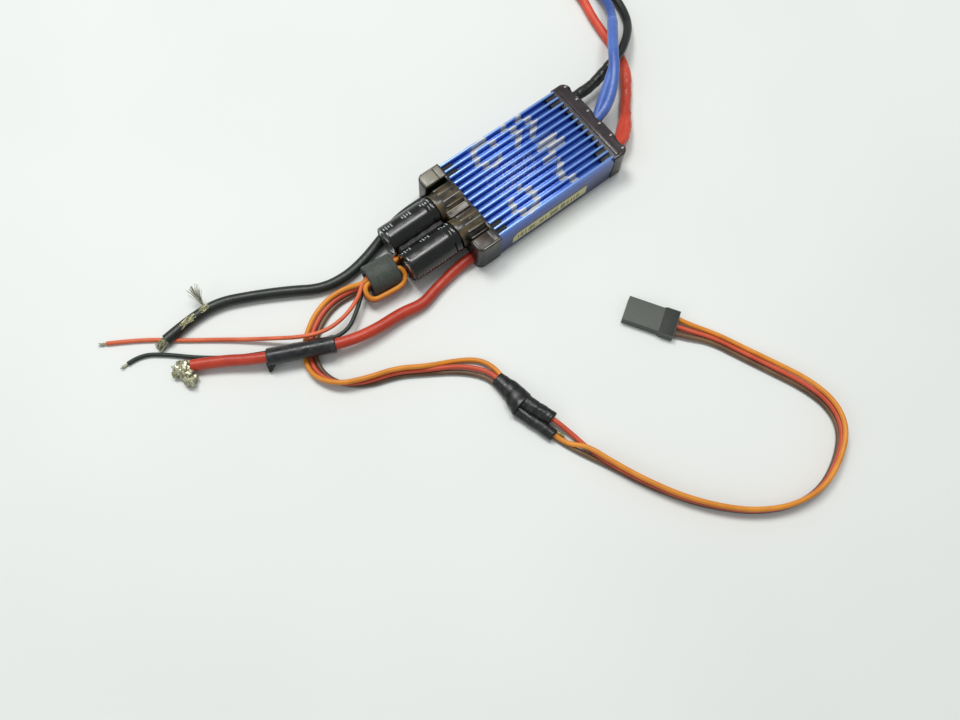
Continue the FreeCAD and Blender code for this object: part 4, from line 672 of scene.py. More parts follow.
# ---- materials of these pieces
def anodised():
    k = Mat("blue_anodised", color=srgb(40, 92, 205), rough=0.3, metal=0.5)
    k.b.inputs["Coat Weight"].default_value = 0.55
    k.b.inputs["Coat Roughness"].default_value = 0.2
    x, y, z = k.xyz()
    nz = k.node("ShaderNodeNewGeometry").outputs["Normal"]
    nzz = k.xyz(nz)[2]
    up_ = k.range(nzz, 0.05, 0.3)
    streak = k.noise(1.0, 4, 0.6, vec=k.scaled((0.12, 2.2, 2.2)))
    fine = k.noise(3.2, 4, 0.65)
    col = k.mix(k.range(streak, 0.3, 0.7), srgb(36, 84, 196), srgb(70, 128, 228))
    col = k.mix(k.math("MULTIPLY", k.range(fine, 0.56, 0.76), 0.45), col, srgb(172, 204, 250))
    # painted shade: the blue darkens toward the floor
    floor_shade = k.range(z, 0.0, 0.0075)
    col = k.mix(floor_shade, srgb(38, 56, 140), col)
    # painted highlight: pale blue along the fin crests
    crest_highlight = k.range(z, 9.7 * MM, 10.1 * MM)
    col = k.mix(k.math("MULTIPLY", crest_highlight, 0.5), col, srgb(168, 206, 250))
    # painted shade: dark navy on the steep fin sides inside the channels
    trench_shade = k.math("MULTIPLY", k.range(nzz, 0.5, 0.1), k.range(z, 10.0 * MM, 8.2 * MM))
    col = k.mix(k.math("MULTIPLY", trench_shade, 0.8), col, srgb(8, 22, 84))

    def stroke(x0, y0, x1, y1, w):
        cx, cy = (x0 + x1) / 2, (y0 + y1) / 2
        ang = math.atan2(y1 - y0, x1 - x0)
        hl = math.hypot(x1 - x0, y1 - y0) / 2
        ca, sa = math.cos(ang), math.sin(ang)
        dx = k.math("SUBTRACT", x, cx * MM)
        dy = k.math("SUBTRACT", y, cy * MM)
        u = k.math("ADD", k.math("MULTIPLY", dx, ca), k.math("MULTIPLY", dy, sa))
        v = k.math("SUBTRACT", k.math("MULTIPLY", dy, ca), k.math("MULTIPLY", dx, sa))
        a = k.math("LESS_THAN", k.math("ABSOLUTE", u), (hl + w * 0.3) * MM)
        b = k.math("LESS_THAN", k.math("ABSOLUTE", v), w * MM)
        return k.math("MULTIPLY", a, b)
    strokes = []
    for (cx, cy, R_) in ((3.0, 8.4, 4.1), (1.9, -8.5, 3.9)):       # open hexagons
        P = [(cx + R_ * math.cos(math.radians(60 * i + 12)), cy + R_ * math.sin(math.radians(60 * i + 12))) for i in range(7)]
        skip = (5,) if cy > 0 else (1,)
        for i in range(6):
            if i not in skip:
                strokes.append((*P[i], *P[i + 1], 0.85))
    for (cx, cy, s) in ((13.2, 9.0, 1), (18.4, 9.0, 1), (15.4, -8.4, -1)):   # chevrons
        strokes.append((cx - 2.2 * s, cy - 3.5, cx + 1.2 * s, cy, 0.85))
        strokes.append((cx + 1.2 * s, cy, cx - 2.2 * s, cy + 3.5, 0.85))
    for i, (x0, x1) in enumerate(((16.0, 21.5), (15.0, 21.0), (17.2, 22.4), (13.6, 17.6))):   # stepped block
        strokes.append((x0, 2.6 - 1.55 * i, x1, 2.6 - 1.55 * i, 0.86))
    mask = None
    for s in strokes:
        q = stroke(*s)
        mask = q if mask is None else k.math("MAXIMUM", mask, q)
    # fine ticks between the big marks
    cell = k.node("ShaderNodeTexWhiteNoise", noise_dimensions="2D")
    cmb = k.node("ShaderNodeCombineXYZ")
    k.put(cmb.inputs[0], k.math("FLOOR", k.math("MULTIPLY", x, 1 / (0.42 * MM))))
    k.put(cmb.inputs[1], k.math("FLOOR", k.math("MULTIPLY", y, 1 / (0.3 * MM))))
    k.put(cell.inputs["Vector"], cmb.outputs[0])
    tick = k.math("GREATER_THAN", cell.outputs["Value"], 0.74)
    zone = k.math("MULTIPLY", k.math("LESS_THAN", k.math("ABSOLUTE", k.math("SUBTRACT", x, 5.0 * MM)), 7.6 * MM),
                  k.math("LESS_THAN", k.math("ABSOLUTE", k.math("ADD", y, 0.2 * MM)), 3.9 * MM))
    row = k.math("LESS_THAN", k.math("FRACT", k.math("MULTIPLY", k.math("ADD", y, 20 * MM), 1 / (2.07 * MM))), 0.62)
    ticks = k.math("MULTIPLY", k.math("MULTIPLY", k.math("MULTIPLY", tick, zone), row), 0.62)
    worn = k.range(k.noise(0.9, 4, 0.7), 0.34, 0.48, 0.72, 1.0)
    high = k.math("GREATER_THAN", z, 8.05 * MM)
    sel = k.math("MAXIMUM", k.math("MULTIPLY", up_, high), k.math("GREATER_THAN", z, 9.15 * MM))
    mask = k.math("MULTIPLY", k.math("MULTIPLY", k.math("MAXIMUM", mask, ticks), worn), sel)
    col = k.mix(mask, col, srgb(200, 204, 206))
    k.set("Base Color", col)
    k.set("Metallic", k.math("MULTIPLY_ADD", mask, -0.3, 0.5))
    k.set("Roughness", k.math("MULTIPLY_ADD", mask, 0.16, k.range(fine, 0.3, 0.7, 0.26, 0.42)))
    k.bump(k.math("ADD", streak, k.math("MULTIPLY", fine, 0.5)), 0.25, 0.06)
    return k.m


def smoky(name, base=(96, 90, 82), deep=(44, 40, 38), amber=True, trans=0.3, rough=0.14, dark_x=0.0, dark_s=1.0, coat=0.2):
    """Tinted, slightly see-through plastic with what is under it showing as soft patches, and painted shade on the
    faces below the top.
    """
    k = Mat(name, rough=rough)
    x, y, z = k.xyz()
    n1 = k.noise(0.22, 3, 0.5, dist=0.4)
    n2 = k.noise(0.38, 2, 0.4, vec=k.scaled((0.6, 1.3, 1.0)))
    col = k.mix(k.range(n1, 0.35, 0.65), srgb(*deep), srgb(*base))
    if amber:
        zone = k.range(k.math("ABSOLUTE", y), 8.4 * MM, 9.6 * MM, 1.0, 0.0)
        patch = k.math("MULTIPLY", k.range(n2, 0.42, 0.68), zone)
        col = k.mix(k.math("MULTIPLY", patch, 0.75), col, srgb(98, 82, 48))
        glow = k.math("MULTIPLY", k.range(k.noise(0.5, 3, 0.5, vec=k.scaled((1, 1, 1), loc=(0.3, 0.1, 0))), 0.62, 0.76), zone)
        col = k.mix(k.math("MULTIPLY", glow, 0.7), col, srgb(142, 134, 108))
    # painted shade: faces below about 9 mm fade to near-black
    side_shade = k.range(z, 5.8 * MM, 9.0 * MM)
    col = k.mix(side_shade, srgb(10, 9, 9), col)
    tongue = k.math("GREATER_THAN", k.math("MULTIPLY", k.math("ADD", x, dark_x * MM), dark_s), 0.0)
    col = k.mix(tongue, col, srgb(10, 10, 13))
    k.set("Base Color", col)
    k.b.inputs["Transmission Weight"].default_value = trans
    k.b.inputs["IOR"].default_value = 1.4
    k.set("Roughness", k.math("MAXIMUM", k.range(n2, 0.3, 0.7, rough * 0.9, rough * 1.3), k.math("MULTIPLY", tongue, 0.62)))
    k.b.inputs["Coat Weight"].default_value = coat
    k.b.inputs["Coat Roughness"].default_value = 0.08
    k.bump(k.noise(0.3, 1, 0.3), 0.02, 0.08)
    return k.m


def cap_sleeve(name, yc, mark_deg, seam):
    """Shrunk glossy film with a row of small pale dashes along the can."""
    k = Mat(name, color=srgb(36, 41, 38), rough=0.26)
    x, y, z = k.xyz()
    n1 = k.noise(0.3, 3)
    n2 = k.noise(2.4, 4, 0.6)
    col = k.mix(k.range(n1, 0.3, 0.7), srgb(6, 8, 6), srgb(14, 17, 13))
    ang = k.math("ARCTAN2", k.math("SUBTRACT", z, 6.5 * MM), k.math("SUBTRACT", y, yc * MM))
    arc = k.math("MULTIPLY", k.math("SUBTRACT", ang, math.radians(mark_deg)), 4.3)          # mm round the can
    xm = k.math("MULTIPLY", k.math("ADD", x, 33.4 * MM), 1 / MM)
    pos = k.math("MULTIPLY", k.math("FRACT", k.math("DIVIDE", xm, 5.9)), 5.9)
    group_ = k.math("LESS_THAN", pos, 3.05)
    bar = k.math("LESS_THAN", k.math("FRACT", k.math("DIVIDE", pos, 0.78)), 0.52)
    tall = k.math("MULTIPLY_ADD", k.math("GREATER_THAN", k.math("FRACT", k.math("DIVIDE", pos, 1.56)), 0.5), 0.3, 0.4)
    mk = k.math("MULTIPLY", k.math("MULTIPLY", group_, bar), k.math("LESS_THAN", k.math("ABSOLUTE", arc), tall))
    mk = k.math("MULTIPLY", mk, k.range(n2, 0.38, 0.55, 0.35, 0.95))
    if seam:
        a2 = k.math("MULTIPLY", k.math("SUBTRACT", k.math("ABSOLUTE", ang), math.radians(172)), 4.3)
        dash = k.math("MULTIPLY", k.math("LESS_THAN", k.math("FRACT", k.math("DIVIDE", xm, 0.95)), 0.5), k.math("LESS_THAN", k.math("ABSOLUTE", a2), 0.12))
        mk = k.math("MAXIMUM", mk, k.math("MULTIPLY", dash, k.range(n1, 0.35, 0.5, 0.25, 0.8)))
    end = k.math("MULTIPLY", k.math("GREATER_THAN", x, -33.6 * MM), k.math("LESS_THAN", x, -18.5 * MM))
    mk = k.math("MULTIPLY", mk, end)
    k.set("Base Color", k.mix(mk, col, srgb(176, 184, 184)))
    k.set("Roughness", k.range(n1, 0.3, 0.7, 0.2, 0.27))
    k.b.inputs["Specular IOR Level"].default_value = 0.6
    k.bump(n1, 0.15, 0.12)
    return k.m


def label_material():
    k = Mat("label_film", rough=0.4)
    x, y, z = k.xyz()
    xm = k.math("MULTIPLY", k.math("ADD", x, 4.0 * MM), 1 / MM)
    cell = k.node("ShaderNodeTexWhiteNoise", noise_dimensions="1D")
    k.put(cell.inputs["W"], k.math("FLOOR", k.math("DIVIDE", xm, 0.5)))
    on = k.math("GREATER_THAN", cell.outputs["Value"], 0.16)
    inside = k.math("MULTIPLY", k.math("GREATER_THAN", xm, 0.0), k.math("LESS_THAN", xm, 22.2))
    zc = k.math("ABSOLUTE", k.math("SUBTRACT", z, 3.75 * MM))
    hgt = k.math("MULTIPLY_ADD", k.math("FRACT", k.math("MULTIPLY", cell.outputs["Value"], 7.3)), 0.45 * MM, 0.8 * MM)
    word = k.math("LESS_THAN", k.math("FRACT", k.math("DIVIDE", xm, 3.7)), 0.78)
    mk = k.math("MULTIPLY", k.math("MULTIPLY", on, inside), k.math("MULTIPLY", k.math("LESS_THAN", zc, hgt), word))
    thin = k.math("LESS_THAN", k.math("FRACT", k.math("DIVIDE", xm, 0.5)), 0.74)
    mk = k.math("MULTIPLY", mk, thin)
    n = k.noise(0.8, 4, 0.6)
    col = k.mix(k.range(n, 0.3, 0.7), srgb(196, 190, 134), srgb(216, 212, 158))
    k.set("Base Color", k.mix(k.math("MULTIPLY", mk, 0.86), col, srgb(50, 48, 44)))
    k.bump(n, 0.15, 0.05)
    return k.m


def ferrite_material():
    k = Mat("ferrite", rough=0.62)
    n = k.noise(1.2, 5, 0.7)
    g = k.noise(6.0, 3, 0.7)
    col = k.mix(k.range(n, 0.3, 0.7), srgb(52, 57, 53), srgb(74, 79, 73))
    k.set("Base Color", k.mix(k.math("MULTIPLY", k.range(g, 0.6, 0.75), 0.3), col, srgb(110, 118, 112)))
    k.set("Roughness", k.range(g, 0.3, 0.7, 0.5, 0.72))
    k.b.inputs["Specular IOR Level"].default_value = 0.4
    k.bump(k.math("ADD", g, n), 0.4, 0.05)
    return k.m


def tape_material(name="tape", dark=(20, 22, 23), light=(38, 40, 42)):
    k = Mat(name, rough=0.34)
    n = k.noise(0.5, 4, 0.6, dist=0.4)
    g = k.noise(2.6, 4, 0.6)
    col = k.mix(k.range(n, 0.35, 0.68), srgb(*dark), srgb(*light))
    k.set("Base Color", k.mix(k.math("MULTIPLY", k.range(g, 0.6, 0.78), 0.4), col, srgb(78, 80, 80)))
    k.set("Roughness", k.range(n, 0.35, 0.65, 0.28, 0.46))
    k.b.inputs["Specular IOR Level"].default_value = 0.45
    k.bump(k.math("ADD", k.math("MULTIPLY", n, 2.0), k.math("MULTIPLY", g, 0.4)), 0.16, 0.1)
    return k.m


def plug_material():
    k = Mat("plug_plastic", rough=0.45)
    k.b.inputs["Specular IOR Level"].default_value = 0.14
    n = k.noise(0.8, 4, 0.6)
    g = k.noise(5.0, 4, 0.65)
    e = k.node("ShaderNodeNewGeometry").outputs["Pointiness"]
    col = k.mix(k.range(n, 0.3, 0.7), srgb(12, 14, 13), srgb(20, 23, 21))
    col = k.mix(k.math("MULTIPLY", k.range(e, 0.52, 0.6), 0.5), col, srgb(120, 124, 118))
    col = k.mix(k.math("MULTIPLY", k.range(g, 0.62, 0.72), 0.35), col, srgb(120, 122, 116))
    k.set("Base Color", col)
    k.set("Roughness", k.range(n, 0.3, 0.7, 0.4, 0.55))
    k.bump(k.math("ADD", g, n), 0.2, 0.05)
    return k.m


def solder_material(name, base, dark, glint_colour, rough=0.32, metal=0.75):
    k = Mat(name, rough=rough, metal=metal)
    n = k.noise(1.0, 4, 0.7)
    g = k.noise(4.0, 4, 0.7)
    col = k.mix(k.range(n, 0.35, 0.62), srgb(*dark), srgb(*base))
    # the brightest spots take a near-white painted glint colour
    k.set("Base Color", k.mix(k.range(g, 0.6, 0.7), col, srgb(*glint_colour)))
    k.set("Roughness", k.range(g, 0.3, 0.7, rough * 0.6, rough * 1.5))
    k.bump(k.math("ADD", g, n), 0.3, 0.08)
    return k.m


M["anodised"] = anodised()
M["front_plastic"] = smoky("smoky_front", (72, 68, 60), (30, 27, 24), True, 0.03, 0.26, 10.0, 1.0, 0.05)
M["rear_plastic"] = smoky("smoky_rear", (62, 55, 57), (46, 40, 42), False, 0.03, 0.24, -29.3, -1.0, 0.1)
# pale grey of the left block's window: painted reflection of the overhead light
M["window_reflection"] = smoky("window_reflection", (140, 136, 122), (120, 115, 102), False, 0.04, 0.34, 100.0, -1.0, 0.1)
M["block_brown"] = smoky("block_brown", (66, 50, 34), (38, 31, 24), True, 0.03, 0.34, 100.0, -1.0, 0.05)
# pale glossy colour of the thin crest ribs, block rims and rear latches: painted highlight lines and glints
M["painted_highlight_line"] = plain("painted_highlight_line", srgb(150, 147, 140), 0.2, 0.0, 0.8, 0.1, 0.05)
M["label_film"] = label_material()
M["ferrite"] = ferrite_material()
M["tape"] = tape_material()
M["tape_edge"] = tape_material("tape_edge", (40, 42, 43), (58, 60, 60))
M["plug"] = plug_material()
M["scuffed"] = tape_material("scuffed_sleeve", (12, 15, 14), (25, 28, 26))
M["strand"] = solder_material("tinned_strand", (178, 180, 156), (128, 130, 104), (226, 228, 214), 0.3, 0.6)
M["blob"] = solder_material("messy_solder", (186, 186, 160), (110, 106, 70), (242, 243, 234), 0.26, 0.5)
M["olive"] = solder_material("olive_joint", (170, 168, 132), (110, 106, 72), (230, 228, 206), 0.34, 0.6)
M["sleeve_film_left"] = cap_sleeve("sleeve_film_left", 4.62, 67.0, False)
M["sleeve_film_right"] = cap_sleeve("sleeve_film_right", -4.62, 48.0, True)

# ---- the finned case, on the extrusion's outline with its edges broken
case_o = copy_node("heatsink_case", "finned_case", [M["anodised"]], 0.1, 2, 25)
piece(case_o, ["heatsink_case"])

# ---- front end cap with its ribs and the two flat windows of the blocks; the three thinnest ribs and the block rims are pale painted highlight lines, and the left block's window is a painted reflection
cap_o = copy_node("front_end_cap", "front_cap_shell", [M["front_plastic"]], 0.16, 3, 30)
parts = [cap_o]
# the first three ribs take the pale painted highlight colour
for (y, z0, x0, x1, w_, mt) in ((3.7, 10.06, -15.8, -10.4, 0.13, "painted_highlight_line"), (-5.25, 10.05, -15.4, -10.4, 0.11, "painted_highlight_line"), (0.86, 9.2, -16.8, -10.5, 0.12, "painted_highlight_line"),
                               (-1.9, 9.3, -15.8, -10.35, 0.5, "front_plastic"), (2.2, 9.46, -15.8, -10.35, 0.42, "front_plastic"), (6.3, 9.82, -15.8, -10.35, 0.5, "front_plastic"),
                               (8.2, 8.7, -15.8, -10.35, 0.45, "front_plastic"), (-3.4, 9.95, -15.8, -10.35, 0.4, "front_plastic"), (-7.0, 9.53, -15.8, -10.35, 0.55, "front_plastic"), (-8.6, 8.3, -15.8, -10.35, 0.4, "front_plastic")):
    parts.append(soft_box("rib", (x0, y - w_, z0 - 0.6), (x1, y + w_, z0 + 0.13), 0.1 if w_ < 0.2 else 0.26, 4, [M[mt]]))
for s in (1, -1):
    y0, y1 = (9.95, 13.5) if s > 0 else (-13.5, -9.95)
    # the left block's window and strip carry the pale painted reflection colour
    parts.append(soft_box("window", (-16.5, y0, 9.6), (-12.3, y1, 9.98), 0.12, 3, [M["window_reflection"] if s > 0 else M["block_brown"]]))
    parts.append(soft_box("window_strip", (-12.05, y0, 9.6), (-10.3, y1, 9.95), 0.12, 3, [M["window_reflection"] if s > 0 else M["front_plastic"]]))
    yo = y1 + 0.22 if s > 0 else y0 - 0.22
    # a thin pale rim beside each block: painted highlight line
    parts.append(soft_box("rim", (-15.6, yo - 0.09, 9.6), (-10.3, yo + 0.09, 9.93), 0.06, 2, [M["painted_highlight_line"]]))
cap_o = join("front_cap_shell", parts)
piece(cap_o, ["front_end_cap"])

# ---- rear end cap with the small latches beside its lead seats, coloured pale as painted glints
parts = [copy_node("rear_end_cap", "rear_cap_shell", [M["rear_plastic"]], 0.18, 3, 30)]
for k_ in (-1, 0, 1):
    for s in (1, -1):
        yy = k_ * 9.7 + s * 2.5
        if abs(yy) < 12.6:
            # pale latches: painted glints at the lead seats
            parts.append(soft_box("latch", (32.9, yy - 0.28, 9.3), (33.7, yy + 0.28, 9.95), 0.12, 3, [M["painted_highlight_line"]]))
piece(join("rear_cap_shell", parts), ["rear_end_cap"])

# ---- side label
piece(copy_node("side_label", "printed_label", [M["label_film"]], 0.03, 2, 30), ["side_label"])

# ---- electrolytic capacitors: aluminium can with a scored end, shrunk sleeve with its crimp ring
for side, yc, film in (("left", 4.62, "sleeve_film_left"), ("right", -4.62, "sleeve_film_right")):
    o0 = V((-33.8, yc, 6.5))
    prof = [(0.42, 0.0), (0.42, 1.9), (0.32, 2.1), (0.32, 2.5), (0.22, 2.75), (0.14, 3.1), (0.16, 3.5), (0.36, 3.82), (0.8, 3.94), (12.9, 3.94), (13.35, 3.76),
            (13.7, 3.7), (14.05, 3.76), (14.4, 3.92), (15.1, 3.92), (15.38, 3.75), (15.42, 3.3), (14.5, 3.29), (14.45, 0.0)]
    can = lathe("can_" + side, o0, V((1, 0, 0)), prof, 96, [M["can"]])
    smooth_by_angle(can, 40)
    # scored cross on the end, as shallow raised welts
    ws = []
    for ang in (30, 150, 270):
        c_, s_ = math.cos(math.radians(ang)), math.sin(math.radians(ang))
        b_ = soft_box("welt", (-33.46, yc - 0.09, 6.5 - 0.1), (-33.3, yc + 0.09, 6.5 + 1.9), 0.05, 2, [M["can"]])
        b_.data.transform(Matrix.Translation((0, yc * MM, 6.5 * MM)) @ Matrix.Rotation(math.radians(ang), 4, "X") @ Matrix.Translation((0, -yc * MM, -6.5 * MM)))
        ws.append(b_)
    can = join("can_" + side, [can] + ws)
    piece(can, ["capacitor_%s_can" % side])
    out = [(0.3, 3.42), (0.04, 3.5), (-0.02, 3.72), (0.0, 4.02), (0.12, 4.22), (0.4, 4.32), (0.9, 4.3)]
    out += [(t, 4.3 + 0.02 * math.sin(t * 1.7 + yc)) for t in (1.8, 2.8, 3.8, 4.8, 5.8, 6.8, 7.8, 8.8, 9.8, 10.8, 11.8, 12.5)]
    out += [(12.95, 4.29), (13.25, 4.18), (13.5, 4.03), (13.75, 3.99), (14.0, 4.03), (14.25, 4.18), (14.5, 4.29), (15.0, 4.31), (15.35, 4.22), (15.55, 3.95), (15.62, 3.6), (15.55, 3.42)]
    inn = [(15.46, 3.5), (15.42, 3.86), (15.1, 3.97), (14.4, 3.965), (14.05, 3.82), (13.7, 3.76), (13.35, 3.82), (12.9, 3.97), (0.8, 3.97), (0.42, 3.86), (0.3, 3.6)]
    sl = lathe("sleeve_" + side, o0, V((1, 0, 0)), out + inn, 128, [M[film]], side=V((0, 1, 0)), closed=True)
    rr = random.Random(3)
    for v in sl.data.vertices:      # slight shrink ripples near the two ends
        p = v.co / MM
        t = p.x + 33.8
        if 0.2 < t < 15.4:
            d = V((0, p.y - yc, p.z - 6.5))
            if d.length > 4.1:
                e = math.exp(-((t - 0.6) / 0.8) ** 2) + math.exp(-((t - 14.9) / 0.5) ** 2)
                v.co -= d.normalized() * (0.035 * e * (0.5 + 0.5 * math.sin(math.atan2(d.z, d.y) * 17 + yc))) * MM
    if side == "right":     # dark strip laid in the valley between the two cans, standing in for shade there
        secs = []
        for i in range(29):
            x_ = -33.0 + 14.4 * i / 28
            top = 8.35 + 0.12 * math.sin(i * 0.9) - (0.9 if i in (0, 28) else 0.0)
            left_ = [(4.62 - math.sqrt(4.3 ** 2 - (zz - 6.5) ** 2) - 0.03, zz) for zz in [6.5 + (top - 6.5) * j / 6 for j in range(7)]]
            prof_ = [(-a_, b_) for a_, b_ in left_] + [(left_[-1][0] * f_, top + 0.12 * (1 - f_ * f_)) for f_ in (-0.6, 0.0, 0.6)] + left_[::-1]
            secs.append([V((x_, a_, b_)) for a_, b_ in prof_])
        sl = join("sleeve_right", [sl, rings("valley_shade_strip", secs, [M["bung"]])])
    piece(sl, ["capacitor_%s_sleeve" % side])

# ---- ferrite ring, chamfered, and the turn of the three wires round it
FU_, FVd = V((-0.9936, 0.113, 0)), V((-0.113, -0.9936, 0))
FC_ = V((-39.75, -1.25, 0))
prof = [(0.0, 2.95), (0.0, 3.95), (0.12, 4.15), (0.35, 4.29), (7.85, 4.3), (8.08, 4.15), (8.2, 3.95), (8.2, 2.95), (7.95, 2.72), (0.25, 2.71)]
fe = lathe("ferrite_tube", FC_ - FU_ * 4.1 + V((0, 0, 4.3)), FU_, prof, 96, [M["ferrite"]], closed=True)
smooth_by_angle(fe, 38)
piece(fe, ["ferrite_ring"])
for nm, z0, vo in (("orange", 3.75, 5.0), ("red", 2.23, 4.58), ("brown", 0.71, 3.55)):
    vm = 1.1 + (vo - 1.1) * 0.5
    q = [(0.4, 1.1, 2.08), (3.4, 1.1, 2.08), (5.1, 1.1, 2.08), (6.1, 1.1 + (vo - 1.1) * 0.3, 1.5), (6.0, 1.1 + (vo - 1.1) * 0.72, 0.6), (4.9, vo, 0.04), (2.6, vo + 0.1, 0.0), (-0.4, vo + 0.12, 0.0),
         (-2.9, vo + 0.02, 0.0), (-4.6, 1.1 + (vo - 1.1) * 0.8, 0.4), (-5.4, vm, 1.04), (-5.0, 1.1, 2.0), (-3.0, 1.1, 2.08), (0.32, 1.1, 2.08)]
    pts = [FC_ + FU_ * a + FVd * v + V((0, 0, z0 + dz)) for (a, v, dz) in q]
    piece(curve("turn_" + nm, pts, 1.3, M["wire_" + nm], 8, 7), ["ferrite_turn_" + nm])

# ---- heat-shrink on the motor leads
for nm, L0, r0, amp, seed in (("black", 19.0, 1.56, 0.16, 3.1), ("blue", 35.6, 1.5, 0.05, 7.7), ("red", 29.6, 1.52, 0.2, 11.3)):
    ln = LINE["motor_lead_" + nm]
    s = 0.0
    for i in range(len(ln) - 1):
        if ln[i + 1].x >= 34.65:
            s += (34.65 - ln[i].x) / max(1e-6, ln[i + 1].x - ln[i].x) * (ln[i + 1] - ln[i]).length
            break
        s += (ln[i + 1] - ln[i]).length
    pts = resample(ln, s, s + L0, 0.28)

    def ro(t, th, p, r0=r0, amp=amp, seed=seed, L0=L0):
        e = 1 - 0.05 * math.exp(-((1 - t) * L0 / 0.5) ** 2) - 0.04 * math.exp(-(t * L0 / 0.5) ** 2)
        return max(1.4, (r0 + amp * lump(p, 0.42, seed) + amp * 0.5 * lump(p, 1.1, seed + 5)) * e)
    piece(sleeve("shrink_" + nm, pts, ro, 1.33, [M["sleeve_" + nm]], 44, 0.12), ["motor_sleeve_" + nm])

# ---- bullet connectors: slotted sockets under shrunk sleeves
soc, shr_ = [], []
for nm in ("black", "blue", "red"):
    a_, b_ = V(ROUTES["motor_lead_" + nm][-2]), V(ROUTES["motor_lead_" + nm][-1])
    u = b_ - a_
    u.z = 0
    u.normalize()
    c0 = V((b_.x, b_.y, 2.65))
    prof = [(0.02, 1.22), (0.0, 1.9), (0.15, 2.2), (0.4, 2.24), (3.9, 2.24), (4.1, 2.1), (4.5, 2.1), (4.7, 2.24), (12.55, 2.24), (12.9, 2.12), (13.0, 1.95), (12.95, 1.8), (12.7, 1.75), (5.0, 1.75), (4.9, 0.0)]
    k_ = lathe("socket_" + nm, c0, u, prof[:-1] + [(4.95, 1.2), (3.5, 1.2)], 72, [M["gold"]], closed=True)
    smooth_by_angle(k_, 40)
    web = lathe("web_" + nm, c0, u, [(3.4, 0.0), (3.4, 1.3), (3.5, 1.4), (4.85, 1.4), (4.95, 1.3), (4.95, 0.0)], 48, [M["gold"]])
    soc += [k_, smooth_by_angle(web, 40)]
    ln = [c0 + u * (-3.0 + 0.25 * i) for i in range(61)]
    dz = b_.z - 2.65
    ln = [p + V((0, 0, dz * max(0.0, 1 - i / 14.0))) for i, p in enumerate(ln)]

    def ro2(t, th, p, nm=nm):
        s = t * 15.0
        base = 1.72 + (2.63 - 1.72) * max(0.0, min(1.0, (s - 0.6) / 2.6)) ** 0.8
        return base + 0.05 * lump(p, 0.8, 4.0) - (0.12 * math.exp(-((s - 7.3) / 0.35) ** 2))
    F_ = frames(ln)
    sh = sleeve("boot_" + nm, ln, ro2, 1.5, [M["sleeve_black"]], 48, 0.1)
    n_ = 48
    shr_.append(sh)
piece(join("bullet_sockets", soc), ["motor_bullet_sockets"])
piece(join("bullet_boots", shr_), ["bullet_shrinks"])

# ---- tape round the red lead and the thin black wire
TA_, TB_ = V((-60.4, -9.75, 3.98)), V((-76.2, -2.15, 3.62))
td_ = (TB_ - TA_)
tl_ = td_.length
td_.normalize()
tn_ = V((-td_.y, td_.x, 0))
tn_ = (tn_ if tn_.y > 0 else -tn_).normalized()
of_ = tn_ * 1.7 - V((0, 0, 1.15))
of_ = of_ - td_ * of_.dot(td_)
oL = of_.length
oo = of_.normalized()
uu = td_.cross(oo).normalized()


def stadium(r1, r2, n):
    sn = (r1 - r2) / oL
    ph = math.acos(sn)
    pts = []
    for i in range(n):
        th = 2 * math.pi * i / n
        a = (th + math.pi) % (2 * math.pi) - math.pi
        if abs(a) < ph:
            pts.append((oL + r2 * math.cos(a), r2 * math.sin(a)))
        else:
            pts.append((r1 * math.cos(a), r1 * math.sin(a)))
    return pts


def tape_ring(t, r1, r2, n=72, seed=0.0, amp=0.035):
    base = TA_ + td_ * t
    out = []
    for k_, (p, q) in enumerate(stadium(r1, r2, n)):
        th = 2 * math.pi * k_ / n
        w_ = base + oo * p + uu * q
        d = (oo * math.cos(th) + uu * math.sin(th))
        spiral = 0.03 if ((t * 0.32 + th / (2 * math.pi)) % 1.0) < 0.5 else 0.0
        w_ = w_ + d * (amp * lump(w_, 0.55, 2.0 + seed) * 1.4 + amp * 0.6 * lump(w_, 1.6, 9.0 + seed) + spiral)
        w_.z = max(w_.z, 0.02)
        out.append(w_)
    return out


nt = 64
tr = [tape_ring(0.0, 1.95, 1.08, amp=0.03)]
tr += [tape_ring(0.02 + (tl_ - 0.1) * i / nt, 2.08, 1.22, amp=0.02) for i in range(nt + 1)]
tr += [tape_ring(tl_ - 0.02, 1.95, 1.08, amp=0.03)]
inr = [tape_ring(tl_ - 0.05, 1.72, 0.86, amp=0.0), tape_ring(tl_ / 2, 1.72, 0.86, amp=0.0), tape_ring(0.05, 1.72, 0.86, amp=0.0)]
full = tr + inr
n_ = 72
vs = [p for r in full for p in r]
fs = [(i * n_ + j, i * n_ + (j + 1) % n_, ((i + 1) % len(full)) * n_ + (j + 1) % n_, ((i + 1) % len(full)) * n_ + j) for i in range(len(full)) for j in range(n_)]
tp = fix_normals(mesh_obj("tape_wrap", vs, fs, [M["tape"]]))
